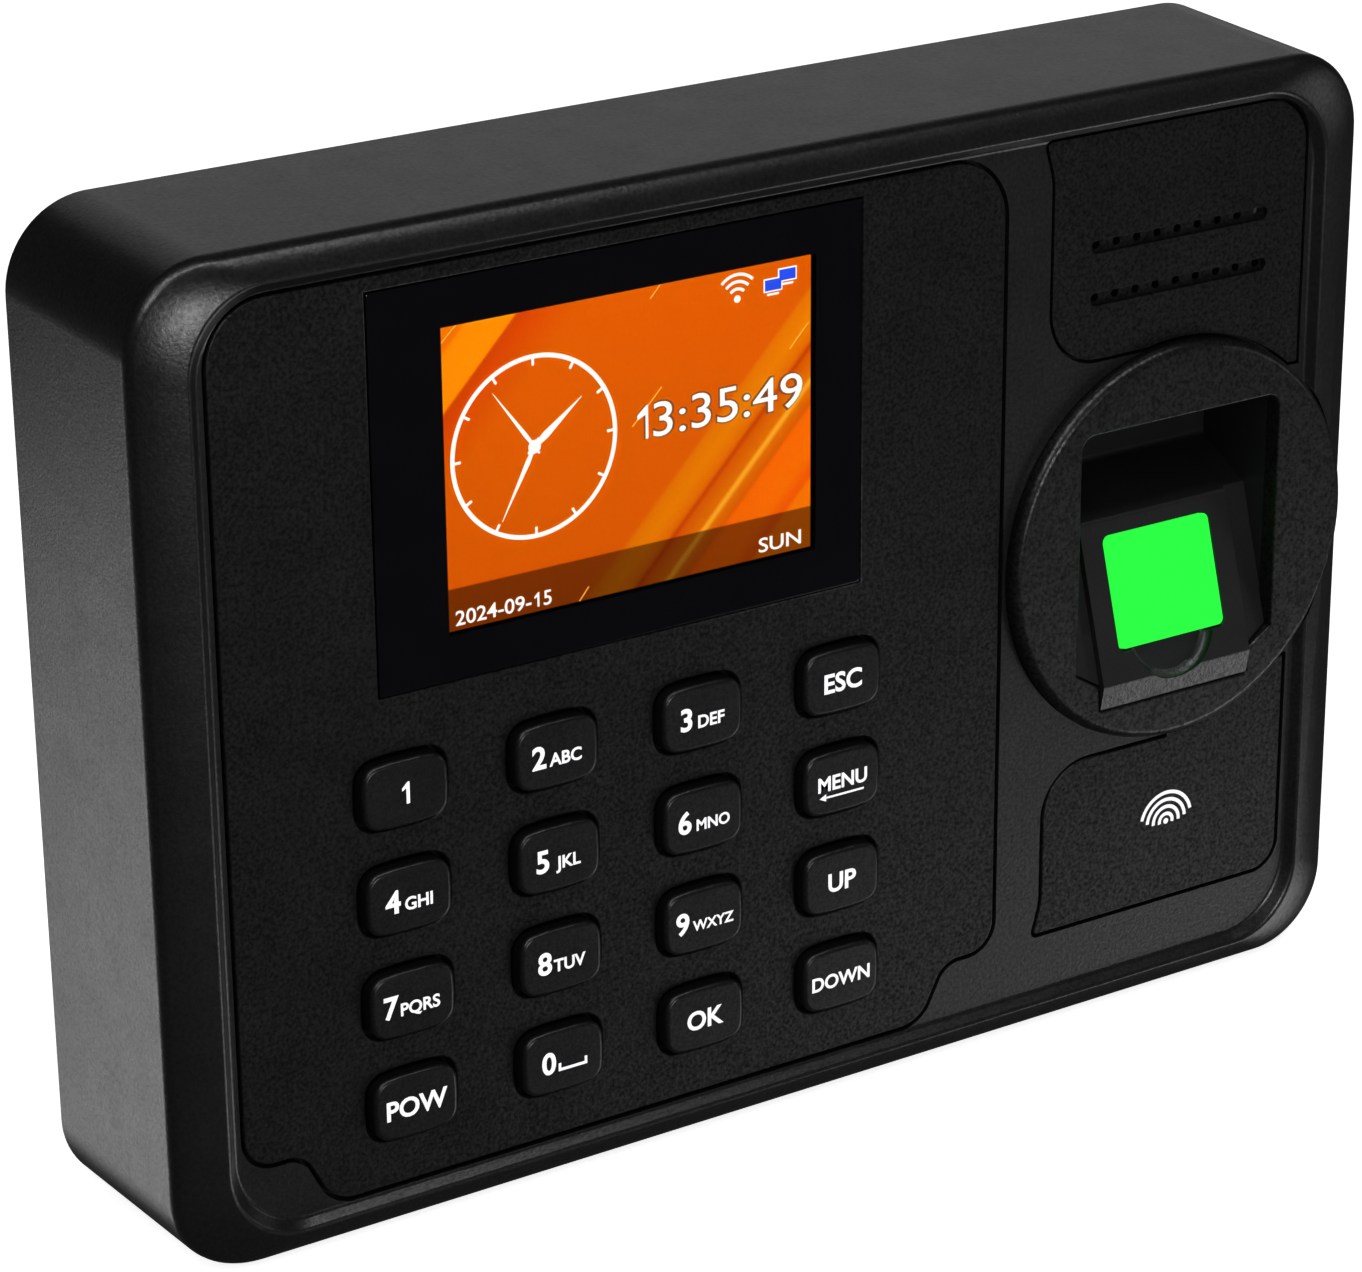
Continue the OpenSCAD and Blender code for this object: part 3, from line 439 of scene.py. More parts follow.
def ranged(material, value, low, high):
    """A value from 0.3 to 0.7 spread to a new range."""
    spread = {"From Min": 0.3, "From Max": 0.7, "To Min": low, "To Max": high}
    return wire(material, "ShaderNodeMapRange", Value=value, **spread).outputs["Result"]


def mottled(material, shader, colour, change, grain):
    """A colour that varies a little over patches of this size."""
    factor = ranged(material, noise(material, grain), 1 - change, 1 + change)
    scaled = wire(material, "ShaderNodeVectorMath", {"operation": "SCALE"}, i0=tuple(colour), Scale=factor)
    material.node_tree.links.new(scaled.outputs["Vector"], shader.inputs["Base Color"])


def grained(name, colour, roughness, grain, depth, specular=0.5, change=0.12, speckled=0.1):
    """Moulded plastic with a fine grain, patchy gloss and slightly uneven colour."""
    material, shader = blank(name)
    mottled(material, shader, colour, change, 9 * MM)
    speckle = ranged(material, noise(material, 1.4 * grain, 1.5),
                     specular * (1 - speckled), specular * (1 + speckled))
    material.node_tree.links.new(speckle, shader.inputs["Specular IOR Level"])
    uneven = ranged(material, noise(material, 6 * MM), roughness * 0.93, roughness * 1.07)
    material.node_tree.links.new(uneven, shader.inputs["Roughness"])
    bump = wire(material, "ShaderNodeBump", Height=noise(material, grain, 2.0), Distance=depth)
    material.node_tree.links.new(bump.outputs["Normal"], shader.inputs["Normal"])
    return material


def metal(name, colour, roughness, along=(1, 1, 1), grain=0.6):
    """Metal with fine rolling or plating marks, drawn out along an axis."""
    material, shader = blank(name)
    shader.inputs["Metallic"].default_value = 1
    mottled(material, shader, colour, 0.08, 5 * MM)
    coords = wire(material, "ShaderNodeTexCoord")
    stretch = wire(material, "ShaderNodeMapping", Vector=coords.outputs["Object"], Scale=along)
    marks = wire(material, "ShaderNodeTexNoise", Vector=stretch.outputs["Vector"], Scale=1 / (grain * MM),
                 Detail=3.0).outputs["Fac"]
    material.node_tree.links.new(ranged(material, marks, roughness * 0.8, roughness * 1.2),
                                 shader.inputs["Roughness"])
    bump = wire(material, "ShaderNodeBump", Height=marks, Distance=0.01 * MM, Strength=0.5)
    material.node_tree.links.new(bump.outputs["Normal"], shader.inputs["Normal"])
    return material


def glowing(name, colour, strength, change=0.04):
    """A surface lit from behind, a little uneven."""
    material, shader = blank(name)
    mottled(material, shader, [c * 0.05 for c in colour], change, 4 * MM)
    factor = ranged(material, noise(material, 5 * MM), 1 - change, 1 + change)
    lit = wire(material, "ShaderNodeVectorMath", {"operation": "SCALE"}, i0=tuple(colour), Scale=factor)
    material.node_tree.links.new(lit.outputs["Vector"], shader.inputs["Emission Color"])
    shader.inputs["Emission Strength"].default_value = strength
    shader.inputs["Roughness"].default_value = 0.35
    shader.inputs["Specular IOR Level"].default_value = 0.1
    return material


def clear(name, colour, bending=1.49, roughness=0.02):
    """Clear plastic or glass with faint unevenness."""
    material, shader = blank(name)
    mottled(material, shader, colour, 0.01, 10 * MM)
    shader.inputs["Transmission Weight"].default_value = 1
    shader.inputs["IOR"].default_value = bending
    shader.inputs["Roughness"].default_value = roughness
    return material


def carry(node, material):
    """Give a carried CAD node its material."""
    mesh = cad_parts[node].data
    mesh.materials.clear()
    mesh.materials.append(material)


# ---- Outlines that plates and their seats share ----


def key_panel_corners(at):
    """Outline of the key panel, with its stepped lower corners."""
    size = sizes()
    half = size.notch_h / 2
    step = at.panel_b + size.notch_h
    return [
        (at.panel_l, at.panel_top, 8.5 * MM),
        (at.panel_l, step, 4.5 * MM),
        (at.panel_l + size.notch_w - half, step, 4 * MM),
        (at.panel_l + size.notch_w, at.panel_b, 5 * MM),
        (at.panel_r - size.notch_w, at.panel_b, 5 * MM),
        (at.panel_r - size.notch_w + half, step, 4 * MM),
        (at.panel_r, step, 4.5 * MM),
        (at.panel_r, at.panel_top, 9 * MM),
    ]


def speaker_corners(at):
    """Outline of the speaker grille before the round bezel is cut out of it."""
    low = at.ring_up + at.ring_r - 0.1 * MM
    return [
        (at.plate_l - 1.5 * MM, at.plate_top, 0.8 * MM),
        (at.plate_l, at.plate_top - 5.4 * MM, 8 * MM),
        (at.plate_l, low, 8 * MM),
        (at.ring_x, low, 0),
        (at.ring_x, low - 7 * MM, 0),
        (at.plate_r, low - 7 * MM, 0),
        (at.plate_r, at.plate_top, 7 * MM),
    ]


def badge_corners(at):
    """Outline of the badge plate before the round bezel is cut out of it."""
    high = at.ring_up - at.ring_r - 1 * MM
    left = at.plate_l + 0.4 * MM
    return [
        (at.plate_l - 1 * MM, at.badge_b, 0.6 * MM),
        (at.plate_r, at.badge_b, 4.5 * MM),
        (at.plate_r, high + 8 * MM, 0),
        (at.ring_x, high + 8 * MM, 0),
        (at.ring_x, high, 0),
        (left, high, 8 * MM),
        (left, at.badge_b + 5 * MM, 8 * MM),
    ]


def side_plate(at, name, corners, between, grow=0):
    """The solid of a side plate, grown or shrunk, with the round bezel's room cut out."""
    sharp = grow < 0
    inner = (between[0] + grow, between[1] - grow)
    plate = swell(draw(name, [(a, b, 0 if sharp else r) for a, b, r in corners(at)], inner), grow)
    clear_r = at.ring_r + sizes().groove - grow
    return carve(plate, disc("bezel_room", at.ring_x, at.ring_up, clear_r,
                             (between[0] - 5 * MM, between[1] + 5 * MM)))


def cap_corners():
    """Outline of a key's cap round its own middle, with bowed sides."""
    size = sizes()
    w, h, r, bow = size.key_w / 2, size.key_h / 2, size.key_corner, size.key_bow
    side = bow / 2
    return [
        (-w + side, -h + bow, r), (-w / 3, -h, 2 * r), (w / 3, -h, 2 * r), (w - side, -h + bow, r),
        (w, 0, 2 * r), (w - side, h - bow, r), (w / 3, h, 2 * r), (-w / 3, h, 2 * r),
        (-w + side, h - bow, r), (-w, 0, 2 * r),
    ]


def window_corners(at):
    """Outline of the finger window, with the chin's way out at its foot."""
    size = sizes()
    w = size.window_w / 2
    chin = size.bed_w / 2 + 0.15 * MM
    x = at.window_x
    foot = at.apron - 0.15 * MM
    return [
        (x - w, at.window_t, 2.2 * MM), (x - w, at.window_b, 0),
        (x - chin, at.lip, 0), (x - chin, foot, 0.5 * MM),
        (x + chin, foot, 0.5 * MM), (x + chin, at.lip, 0),
        (x + w, at.window_b, 0), (x + w, at.window_t, 2.2 * MM),
    ]


def key_middle(name):
    """Middle of a key on the front, as (x, up)."""
    low, high = span(name)
    return (low.x + high.x) / 2, (low.y + high.y) / 2


# ---- Pieces ----


def model_cover():
    """The front cover: side walls, sloping rim, recess, seats, posts and port holes."""
    at, size = lay_out(), sizes()
    cover = block("front_cover_shell", (-at.half_w, at.half_w), (-at.half_h, at.half_h),
                  (at.back, at.edge))
    round_uprights(cover, size.corner, 20)
    with editing(cover):
        pick(cover, "FACE", lambda f: f.normal.y > 0.9)
        bpy.ops.transform.resize(value=(1 + size.draft / at.half_w, 1, 1 + size.draft / at.half_h),
                                 center_override=place(0, 0, at.back))
        pick(cover, "FACE", lambda f: f.normal.y < -0.9)
        # The rim rises in two slopes to its crest, then steps down to the recess
        mid_x, mid_y = (at.half_w + at.rim_x) / 2, (at.half_h + at.rim_y) / 2
        lines = [
            (mid_x, mid_y, at.edge + 0.66 * size.rim_fall),
            (at.rim_x, at.rim_y, at.crest),
            (at.rim_x - size.rim_step, at.rim_y - size.rim_step, at.face),
        ]
        x, y, out = at.half_w, at.half_h, at.edge
        for new_x, new_y, new_out in lines:
            rise = place(0, 0, new_out - out)
            bpy.ops.mesh.extrude_region_move(TRANSFORM_OT_translate={"value": rise})
            bpy.ops.transform.resize(value=(new_x / x, 1, new_y / y),
                                     center_override=place(0, 0, new_out))
            x, y, out = new_x, new_y, new_out
    soften(cover, 0.4 * MM, lambda e: lies_at(e, at.face), 2)
    soften(cover, size.crest_edge, lambda e: lies_at(e, at.crest), 3)
    soften(cover, size.front_edge, lambda e: lies_at(e, at.edge), 4)

    inner_x, inner_y = at.half_w - size.wall, at.half_h - size.wall
    cavity = block("cavity", (-inner_x, inner_x), (-inner_y, inner_y), (at.back - 1 * MM, at.ledge_back))
    round_uprights(cavity, size.corner - size.wall, 16)
    with editing(cavity):
        pick(cavity, "FACE", lambda f: f.normal.y > 0.9)
        bpy.ops.transform.resize(value=(1 + size.draft / inner_x, 1, 1 + size.draft / inner_y),
                                 center_override=place(0, 0, at.back))
    carve(cover, cavity)

    inset = 9.6 * MM
    strip_x = (at.panel_r + at.plate_l) / 2
    spots = [(x, y) for x in (-at.half_w + inset, strip_x, at.half_w - inset) for y in (-1, 1)]
    posts = [disc("post", x, y * (at.half_h - inset), 3.6 * MM, (9 * MM, at.ledge_back + 1 * MM), 32)
             for x, y in spots]
    carve(cover, together("posts", posts), "UNION")
    bores = [disc("bore", x, y * (at.half_h - inset), 1.4 * MM, (8 * MM, 22 * MM), 24) for x, y in spots]
    carve(cover, together("bores", bores))

    through = (at.ledge_back - 2 * MM, at.crest + 4 * MM)
    seat = (at.panel_back, at.crest + 4 * MM)
    for grow, between in ((size.groove, seat), (-size.ledge, through)):
        inner = (between[0] + grow, between[1] - grow)
        carve(cover, swell(draw("key_seat", key_panel_corners(at), inner), grow))
        carve(cover, side_plate(at, "speaker_seat", speaker_corners, between, grow))
        carve(cover, side_plate(at, "badge_seat", badge_corners, between, grow))
    carve(cover, disc("ring_seat", at.ring_x, at.ring_up, at.ring_r + 0.15 * MM,
                      (at.ring_seat, at.crest + 5 * MM)))
    carve(cover, disc("ring_hole", at.ring_x, at.ring_up, at.collar_r + 0.3 * MM, through))

    for node, play in (("network_socket", 0.3 * MM), ("usb_socket", 0.3 * MM)):
        low, high = span(node)
        carve(cover, block("port", (low.x - play, high.x + play), (-1.2 * at.half_h, low.y + 5 * MM),
                           (low.z - play, high.z + play)))
    low, high = span("power_jack")
    carve(cover, upright("jack_hole", (low.x + high.x) / 2, 5.6 * MM, (low.z + high.z) / 2,
                         (-1.2 * at.half_h, low.y + 5 * MM)))
    low, high = span("security_screw")
    out = (low.z + high.z) / 2
    carve(cover, upright("screw_hole", 0, 1.8 * MM, out, (-1.2 * at.half_h, -at.half_h + 5 * MM)))
    carve(cover, upright("screw_recess", 0, 3.4 * MM, out, (-1.2 * at.half_h, -at.half_h + 0.9 * MM)))

    def groove_mouth(edge):
        middle = (edge.verts[0].co + edge.verts[1].co) / 2
        off_sides = abs(middle.x) < at.rim_x - size.rim_step - 0.9 * MM
        off_ends = abs(middle.z) < at.rim_y - size.rim_step - 0.5 * MM
        off_ring = math.hypot(middle.x - at.ring_x, middle.z - at.ring_up) > at.ring_r + 0.3 * MM
        return (lies_at(edge, at.face) and is_sharp(edge, SQUARE)
                and off_sides and off_ends and off_ring)

    soften(cover, 0.25 * MM, groove_mouth, 2)
    return cover


def model_key_panel():
    """The key panel with the lens's pocket, the picture opening, the key holes and its posts."""
    at, size = lay_out(), sizes()
    panel = draw("key_panel_plate", key_panel_corners(at), (at.panel_back, at.face))
    low, high = span("keypad_board")
    spots = [(key_middle(KEYS[j][i]), key_middle(KEYS[j + 1][i + 1])) for i in (0, 2) for j in (0, 2)]
    reach = (high.z, at.panel_back + 0.5 * MM)
    posts = [disc("post", (a[0] + b[0]) / 2, (a[1] + b[1]) / 2, 2.2 * MM, reach, 24)
             for a, b in spots]
    carve(panel, together("posts", posts), "UNION")
    low, high = span("display_lens")
    play = 0.15 * MM
    carve(panel, block("lens_pocket", (low.x - play, high.x + play), (low.y - play, high.y + play),
                       (low.z - 0.35 * MM, at.face + 2 * MM)))
    low, high = picture_box()
    rim = 1.5 * MM
    carve(panel, block("picture_hole", (low.x - rim, high.x + rim), (low.y - rim, high.y + rim),
                       (at.ledge_back, at.face + 2 * MM)))
    hole = swell(draw("key_hole", cap_corners(), (at.ledge_back, at.face + 2 * MM)), size.key_gap)
    holes = [copied(hole, "hole", (*key_middle(name), 0)) for row in KEYS for name in row]
    bpy.data.objects.remove(hole)
    carve(panel, together("key_holes", holes))
    soften(panel, size.panel_edge, lambda e: lies_at(e, at.face) and is_sharp(e, SQUARE), 3)
    return panel


def picture_box():
    """Lowest and highest (x, up, out) of the lit picture."""
    low, high = span("display_glass")
    margin = sizes().picture_margin
    return (Vector((low.x + margin, low.y + margin, low.z)),
            Vector((high.x - margin, high.y - margin, high.z)))


def model_speaker_grille():
    """The speaker grille with its two slots and their rows of holes."""
    at, size = lay_out(), sizes()
    plate = side_plate(at, "speaker_grille_plate", speaker_corners, (at.panel_back, at.face))
    low, high = span("speaker")
    x, top = (at.plate_l + at.plate_r) / 2, (low.y + high.y) / 2
    floor = at.face - 0.8 * MM
    for up in (top, top - size.slot_pitch):
        slot = block("slot", (x - size.slot_w / 2, x + size.slot_w / 2),
                     (up - size.slot_h / 2, up + size.slot_h / 2), (floor, at.face + 1 * MM))
        carve(plate, round_uprights(slot, size.slot_h / 2 - 0.02 * MM, 8))
        count = 9
        pitch = (size.slot_w - 2.6 * MM) / (count - 1)
        holes = [disc("hole", x + (i - (count - 1) / 2) * pitch, up + 0.15 * MM, 0.65 * MM,
                      (at.panel_back - 1 * MM, floor + 0.5 * MM), 20) for i in range(count)]
        carve(plate, together("holes", holes))
    soften(plate, size.panel_edge, lambda e: lies_at(e, at.face) and is_sharp(e, SQUARE), 3)
    return plate


def model_badge_plate():
    """The badge plate."""
    at, size = lay_out(), sizes()
    plate = side_plate(at, "badge_plate_inlay", badge_corners, (at.panel_back, at.face))
    return soften(plate, size.panel_edge, lambda e: lies_at(e, at.face) and is_sharp(e, SQUARE), 3)


def band(name, x, up, radius, width, start_angle, end_angle, out, steps=20):
    """A flat bent band round a middle, between two angles from straight up, clockwise."""
    angles = [start_angle + (end_angle - start_angle) * i / steps for i in range(steps + 1)]
    outer, inner = radius + width / 2, radius - width / 2
    rim = [(x + outer * math.sin(t), up + outer * math.cos(t), 0) for t in angles]
    bore = [(x + inner * math.sin(t), up + inner * math.cos(t), 0) for t in reversed(angles)]
    return draw(name, rim + bore, out)


def model_emblem():
    """A plain mark of nested arches, like the ridges of any fingertip."""
    at = lay_out()
    x = (at.plate_l + at.plate_r) / 2 + 1 * MM
    up = (at.badge_b + at.ring_up - at.ring_r) / 2 - 1.2 * MM
    out = (at.face - 0.02 * MM, at.face + 0.03 * MM)
    spread = math.radians(104)
    arches = []
    for i in range(4):
        reach = spread - math.radians(9) * i
        arches.append(band("arch", x, up, (1.2 + 1.15 * i) * MM, 0.55 * MM, -reach, reach, out))
    arches.append(disc("core", x, up, 0.45 * MM, out, 24))
    return together("badge_emblem", arches)


def model_lens():
    """The display lens: a black border round a clear window."""
    low, high = span("display_lens")
    lens = block("display_lens_cover", (low.x, high.x), (low.y, high.y), (low.z, high.z))
    round_uprights(lens, 0.5 * MM, 4)
    soften(lens, 0.15 * MM, lambda e: lies_at(e, high.z), 2)
    low, high = picture_box()
    with editing(lens):
        for point, normal in ((low, (1, 0, 0)), (high, (1, 0, 0)), (low, (0, 1, 0)), (high, (0, 1, 0))):
            bpy.ops.mesh.select_all(action="SELECT")
            bpy.ops.mesh.bisect(plane_co=place(*point), plane_no=place(*normal))
    for face in lens.data.polygons:
        inside = low.x < face.center.x < high.x and low.y < face.center.z < high.y
        face.material_index = 1 if inside and abs(face.normal.y) > 0.9 else 0
    return lens


def model_key_cap():
    """One key round its own middle: bowed cap, soft front edge and holding flange."""
    size = sizes()
    low, high = span("key_1")
    flange = 1 * MM
    cap = draw("key_cap", cap_corners(), (low.z + 0.5 * flange, high.z))
    soften(cap, size.key_edge, lambda e: lies_at(e, high.z), 4)
    w, h = (high.x - low.x) / 2, (high.y - low.y) / 2
    foot = block("flange", (-w, w), (-h, h), (low.z, low.z + flange))
    carve(cap, round_uprights(foot, 2 * MM, 6), "UNION")
    return cap


CAP_RATIO = []


def cap_ratio():
    """Height of a capital letter of the built-in font over its size, measured once."""
    if not CAP_RATIO:
        start()
        bpy.ops.object.text_add()
        bpy.context.object.data.body = "H"
        bpy.ops.object.convert(target="MESH")
        letter = bpy.context.object
        CAP_RATIO.append(max(v.co.y for v in letter.data.vertices))
        bpy.data.objects.remove(letter)
    return CAP_RATIO[0]


def lettering(name, words, height, x, up, out, bold=0.0, width=None, centred=False, thick=0.03 * MM):
    """Raised letters that face the front, with their foot line at a height.
    Bold is how much thicker the strokes are, as a share of the letters' height."""
    font_size = height / cap_ratio()
    start()
    bpy.ops.object.text_add(rotation=(math.pi / 2, 0, 0))
    text = bpy.context.object
    text.data.body = words
    text.data.size = font_size
    text.data.extrude = thick
    text.data.offset = bold * height
    text.data.resolution_u = 4
    bpy.ops.object.convert(target="MESH")
    obj = settled(name)
    low = min(v.co.x for v in obj.data.vertices)
    high = max(v.co.x for v in obj.data.vertices)
    squeeze = width / (high - low) if width else 1
    with editing(obj):
        bpy.ops.mesh.remove_doubles(threshold=1e-7)
        bpy.ops.transform.resize(value=(squeeze, 1, 1), center_override=(low, 0, 0))
        left = x - (high - low) * squeeze / 2 if centred else x
        bpy.ops.transform.translate(value=place(left - low, up, out))
    return obj


def figure_one(name, height, x, up, out, bold=0.16):
    """A raised figure one with a slanting flag, its left edge at x and its foot at a height."""
    wide = 0.36
    shape = [(wide - bold, 0), (wide - bold, 0.72), (0, 0.60), (0, 0.74),
             (wide - bold * 0.55, 1), (wide, 1), (wide, 0)]
    corners = [(x + a * height, up + b * height, 0) for a, b in shape]
    return draw(name, corners, (out - 0.03 * MM, out + 0.03 * MM))


# What is printed on each key: (words, letter height, middle x, foot line), in millimetres from its middle
LEGENDS = {
    "key_1": [],
    "key_2": [("2", 3.1, -2.9, -1.5), ("ABC", 1.75, 1.2, -1.5)],
    "key_3": [("3", 3.1, -2.7, -1.5), ("DEF", 1.75, 1.3, -1.5)],
    "key_esc": [("ESC", 2.7, 0, -1.4)],
    "key_4": [("4", 3.1, -2.6, -1.5), ("GHI", 1.75, 1.3, -1.5)],
    "key_5": [("5", 3.1, -2.7, -1.5), ("JKL", 1.75, 1.3, -1.5)],
    "key_6": [("6", 3.1, -3.1, -1.5), ("MNO", 1.6, 1.5, -1.5)],
    "key_menu": [("MENU", 2.1, 0, -0.9)],
    "key_7": [("7", 3.1, -3.4, -1.5), ("PQRS", 1.75, 1.0, -1.5)],
    "key_8": [("8", 3.1, -2.7, -1.5), ("TUV", 1.75, 1.2, -1.5)],
    "key_9": [("9", 3.1, -3.6, -1.5), ("WXYZ", 1.5, 1.4, -1.4)],
    "key_up": [("UP", 2.7, 0, -1.4)],
    "key_power": [("POW", 2.7, 0, -1.4)],
    "key_0": [("0", 3.1, -2.4, -1.5)],
    "key_ok": [("OK", 2.7, 0, -1.4)],
    "key_down": [("DOWN", 2.05, -0.1, -1.2)],
}


def model_legend(name):
    """The printed legend of one key."""
    x, up = key_middle(name)
    out = span(name)[1].z + 0.005 * MM
    pieces = [lettering("letters", words, height * MM, x + dx * MM, up + foot * MM, out, 0.035,
                        centred=True)
              for words, height, dx, foot in LEGENDS[name]]
    level = (out - 0.03 * MM, out + 0.03 * MM)
    if name == "key_1":
        pieces.append(figure_one("one", 3.1 * MM, x - 0.65 * MM, up - 1.5 * MM, out))
    if name == "key_menu":
        pieces.append(block("underline", (x - 2.9 * MM, x + 3.6 * MM),
                            (up - 2.05 * MM, up - 1.75 * MM), level))
        pieces.append(draw("arrow", [(x - 3.9 * MM, up - 1.9 * MM, 0), (x - 2.8 * MM, up - 2.45 * MM, 0),
                                     (x - 2.8 * MM, up - 1.35 * MM, 0)], level))
    if name == "key_0":
        left, right = x - 0.9 * MM, x + 3.7 * MM
        low, high, line = up - 1.5 * MM, up - 0.3 * MM, 0.42 * MM
        pieces.append(draw("space_mark", [
            (left, high, 0), (left, low, 0), (right, low, 0), (right, high, 0),
            (right - line, high, 0), (right - line, low + line, 0),
            (left + line, low + line, 0), (left + line, high, 0),
        ], level))
    return together("legend_" + name[4:], pieces)


# ---- The picture on the display, in millimetres from its upper left corner ----


def picture_material():
    """Orange screen with slanting stripes and a darker strip along its foot."""
    low, high = picture_box()
    material, shader = blank("clock_picture")
    coords = wire(material, "ShaderNodeTexCoord").outputs["Object"]
    slope = math.radians(46)
    middle = place(*((low + high) / 2))
    centred = wire(material, "ShaderNodeVectorMath", {"operation": "SUBTRACT"},
                   i0=coords, i1=tuple(middle))
    across = wire(material, "ShaderNodeVectorMath", {"operation": "DOT_PRODUCT"},
                  i0=centred.outputs["Vector"], i1=(-math.sin(slope), 0, math.cos(slope)))
    reach = 36 * MM
    spread = {"From Min": -reach, "From Max": reach}
    ramp_at = wire(material, "ShaderNodeMapRange", Value=across.outputs["Value"], **spread)
    ramp = wire(material, "ShaderNodeValToRGB", Fac=ramp_at.outputs["Result"])
    base = (0.745, 0.105, 0.0)
    stops = [
        (-36, (1.0, 0.20, 0.0)), (-28.6, (1.0, 0.19, 0.0)), (-28.3, (0.93, 0.085, 0.0)),
        (-26, (1.0, 0.16, 0.0)),
        (-21.5, (1.0, 0.145, 0.0)), (-21.2, (0.76, 0.10, 0.0)), (-19.6, (0.80, 0.16, 0.0)),
        (-18.9, (0.98, 0.42, 0.02)), (-18.4, (0.80, 0.17, 0.0)), (-16.0, (0.72, 0.10, 0.0)),
        (-15.4, (0.55, 0.03, 0.0)), (-14.8, (0.80, 0.15, 0.0)), (-12.5, (0.85, 0.21, 0.0)),
        (-9.9, (0.80, 0.17, 0.0)), (-9.6, base), (19, base), (24.5, (0.70, 0.06, 0.0)),
        (26.1, (0.62, 0.045, 0.0)), (26.3, (1.0, 0.27, 0.0)), (31.6, (1.0, 0.25, 0.0)),
        (31.9, (0.86, 0.15, 0.0)),
        (36, (0.90, 0.20, 0.0)),
    ]
    elements = ramp.color_ramp.elements
    while len(elements) < len(stops):
        elements.new(0.5)
    for element, (where, colour) in zip(elements, stops):
        element.position = (where * MM + reach) / (2 * reach)
        element.color = (*colour, 1)
    height = wire(material, "ShaderNodeSeparateXYZ", Vector=coords).outputs["Z"]
    fade = wire(material, "ShaderNodeMapRange", Value=height, **{
        "From Min": low.y, "From Max": high.y, "To Min": 0.90, "To Max": 1.08}).outputs["Result"]
    strip = wire(material, "ShaderNodeMath", {"operation": "GREATER_THAN"}, i0=height,
                 i1=low.y + 5.75 * MM).outputs["Value"]
    dim = wire(material, "ShaderNodeMapRange", Value=strip,
               **{"To Min": 0.27, "To Max": 1.0}).outputs["Result"]
    both = wire(material, "ShaderNodeMath", {"operation": "MULTIPLY"}, i0=fade, i1=dim).outputs["Value"]
    lit = wire(material, "ShaderNodeVectorMath", {"operation": "SCALE"},
               i0=ramp.outputs["Color"], Scale=both)
    links = material.node_tree.links
    links.new(lit.outputs["Vector"], shader.inputs["Emission Color"])
    shader.inputs["Emission Strength"].default_value = 1.0
    shader.inputs["Base Color"].default_value = (0, 0, 0, 1)
    shader.inputs["Specular IOR Level"].default_value = 0
    return material


def on_picture(u, v):
    """The (x, up) of a point u across and v down from the picture's upper left corner."""
    low, high = picture_box()
    return low.x + u * MM, high.y - v * MM


def hand(name, middle, angle, reach, width, out):
    """A tapered clock hand at an angle from straight up, clockwise."""
    x, up = middle
    along, across = (math.sin(angle), math.cos(angle)), (math.cos(angle), -math.sin(angle))
    shape = [(-1.3, -0.14), (-1.3, 0.14), (2.2, 0.5), (reach / MM, 0.03), (reach / MM, -0.03), (2.2, -0.5)]
    corners = []
    for far, side in shape:
        wide = side * (width if abs(side) == 0.5 else MM)
        corners.append((x + far * MM * along[0] + wide * across[0],
                        up + far * MM * along[1] + wide * across[1], 0))
    return draw(name, corners, out)


def model_clock(out):
    """Clock face with twelve ticks and three hands."""
    middle = on_picture(14.35, 19.15)
    face = disc("clock_ring", *middle, 12.65 * MM, out)
    carve(face, disc("clock_bore", *middle, 12.02 * MM, (out[0] - 1 * MM, out[1] + 1 * MM)))
    pieces = [face, disc("hub", *middle, 0.95 * MM, out, 32)]
    for i in range(12):
        angle = i * math.pi / 6
        sin, cos = math.sin(angle), math.cos(angle)
        corners = [(middle[0] + (r * sin + w * cos) * MM, middle[1] + (r * cos - w * sin) * MM, 0)
                   for r, w in ((11.1, -0.19), (12.2, -0.19), (12.2, 0.19), (11.1, 0.19))]
        pieces.append(draw("tick", corners, out))
    for angle, reach, width in ((52.6, 9.2, 1.1), (208.6, 10.7, 0.75), (324, 10.4, 0.6)):
        pieces.append(hand("hand", middle, math.radians(angle), reach * MM, width * MM, out))
    return together("screen_clock", pieces)


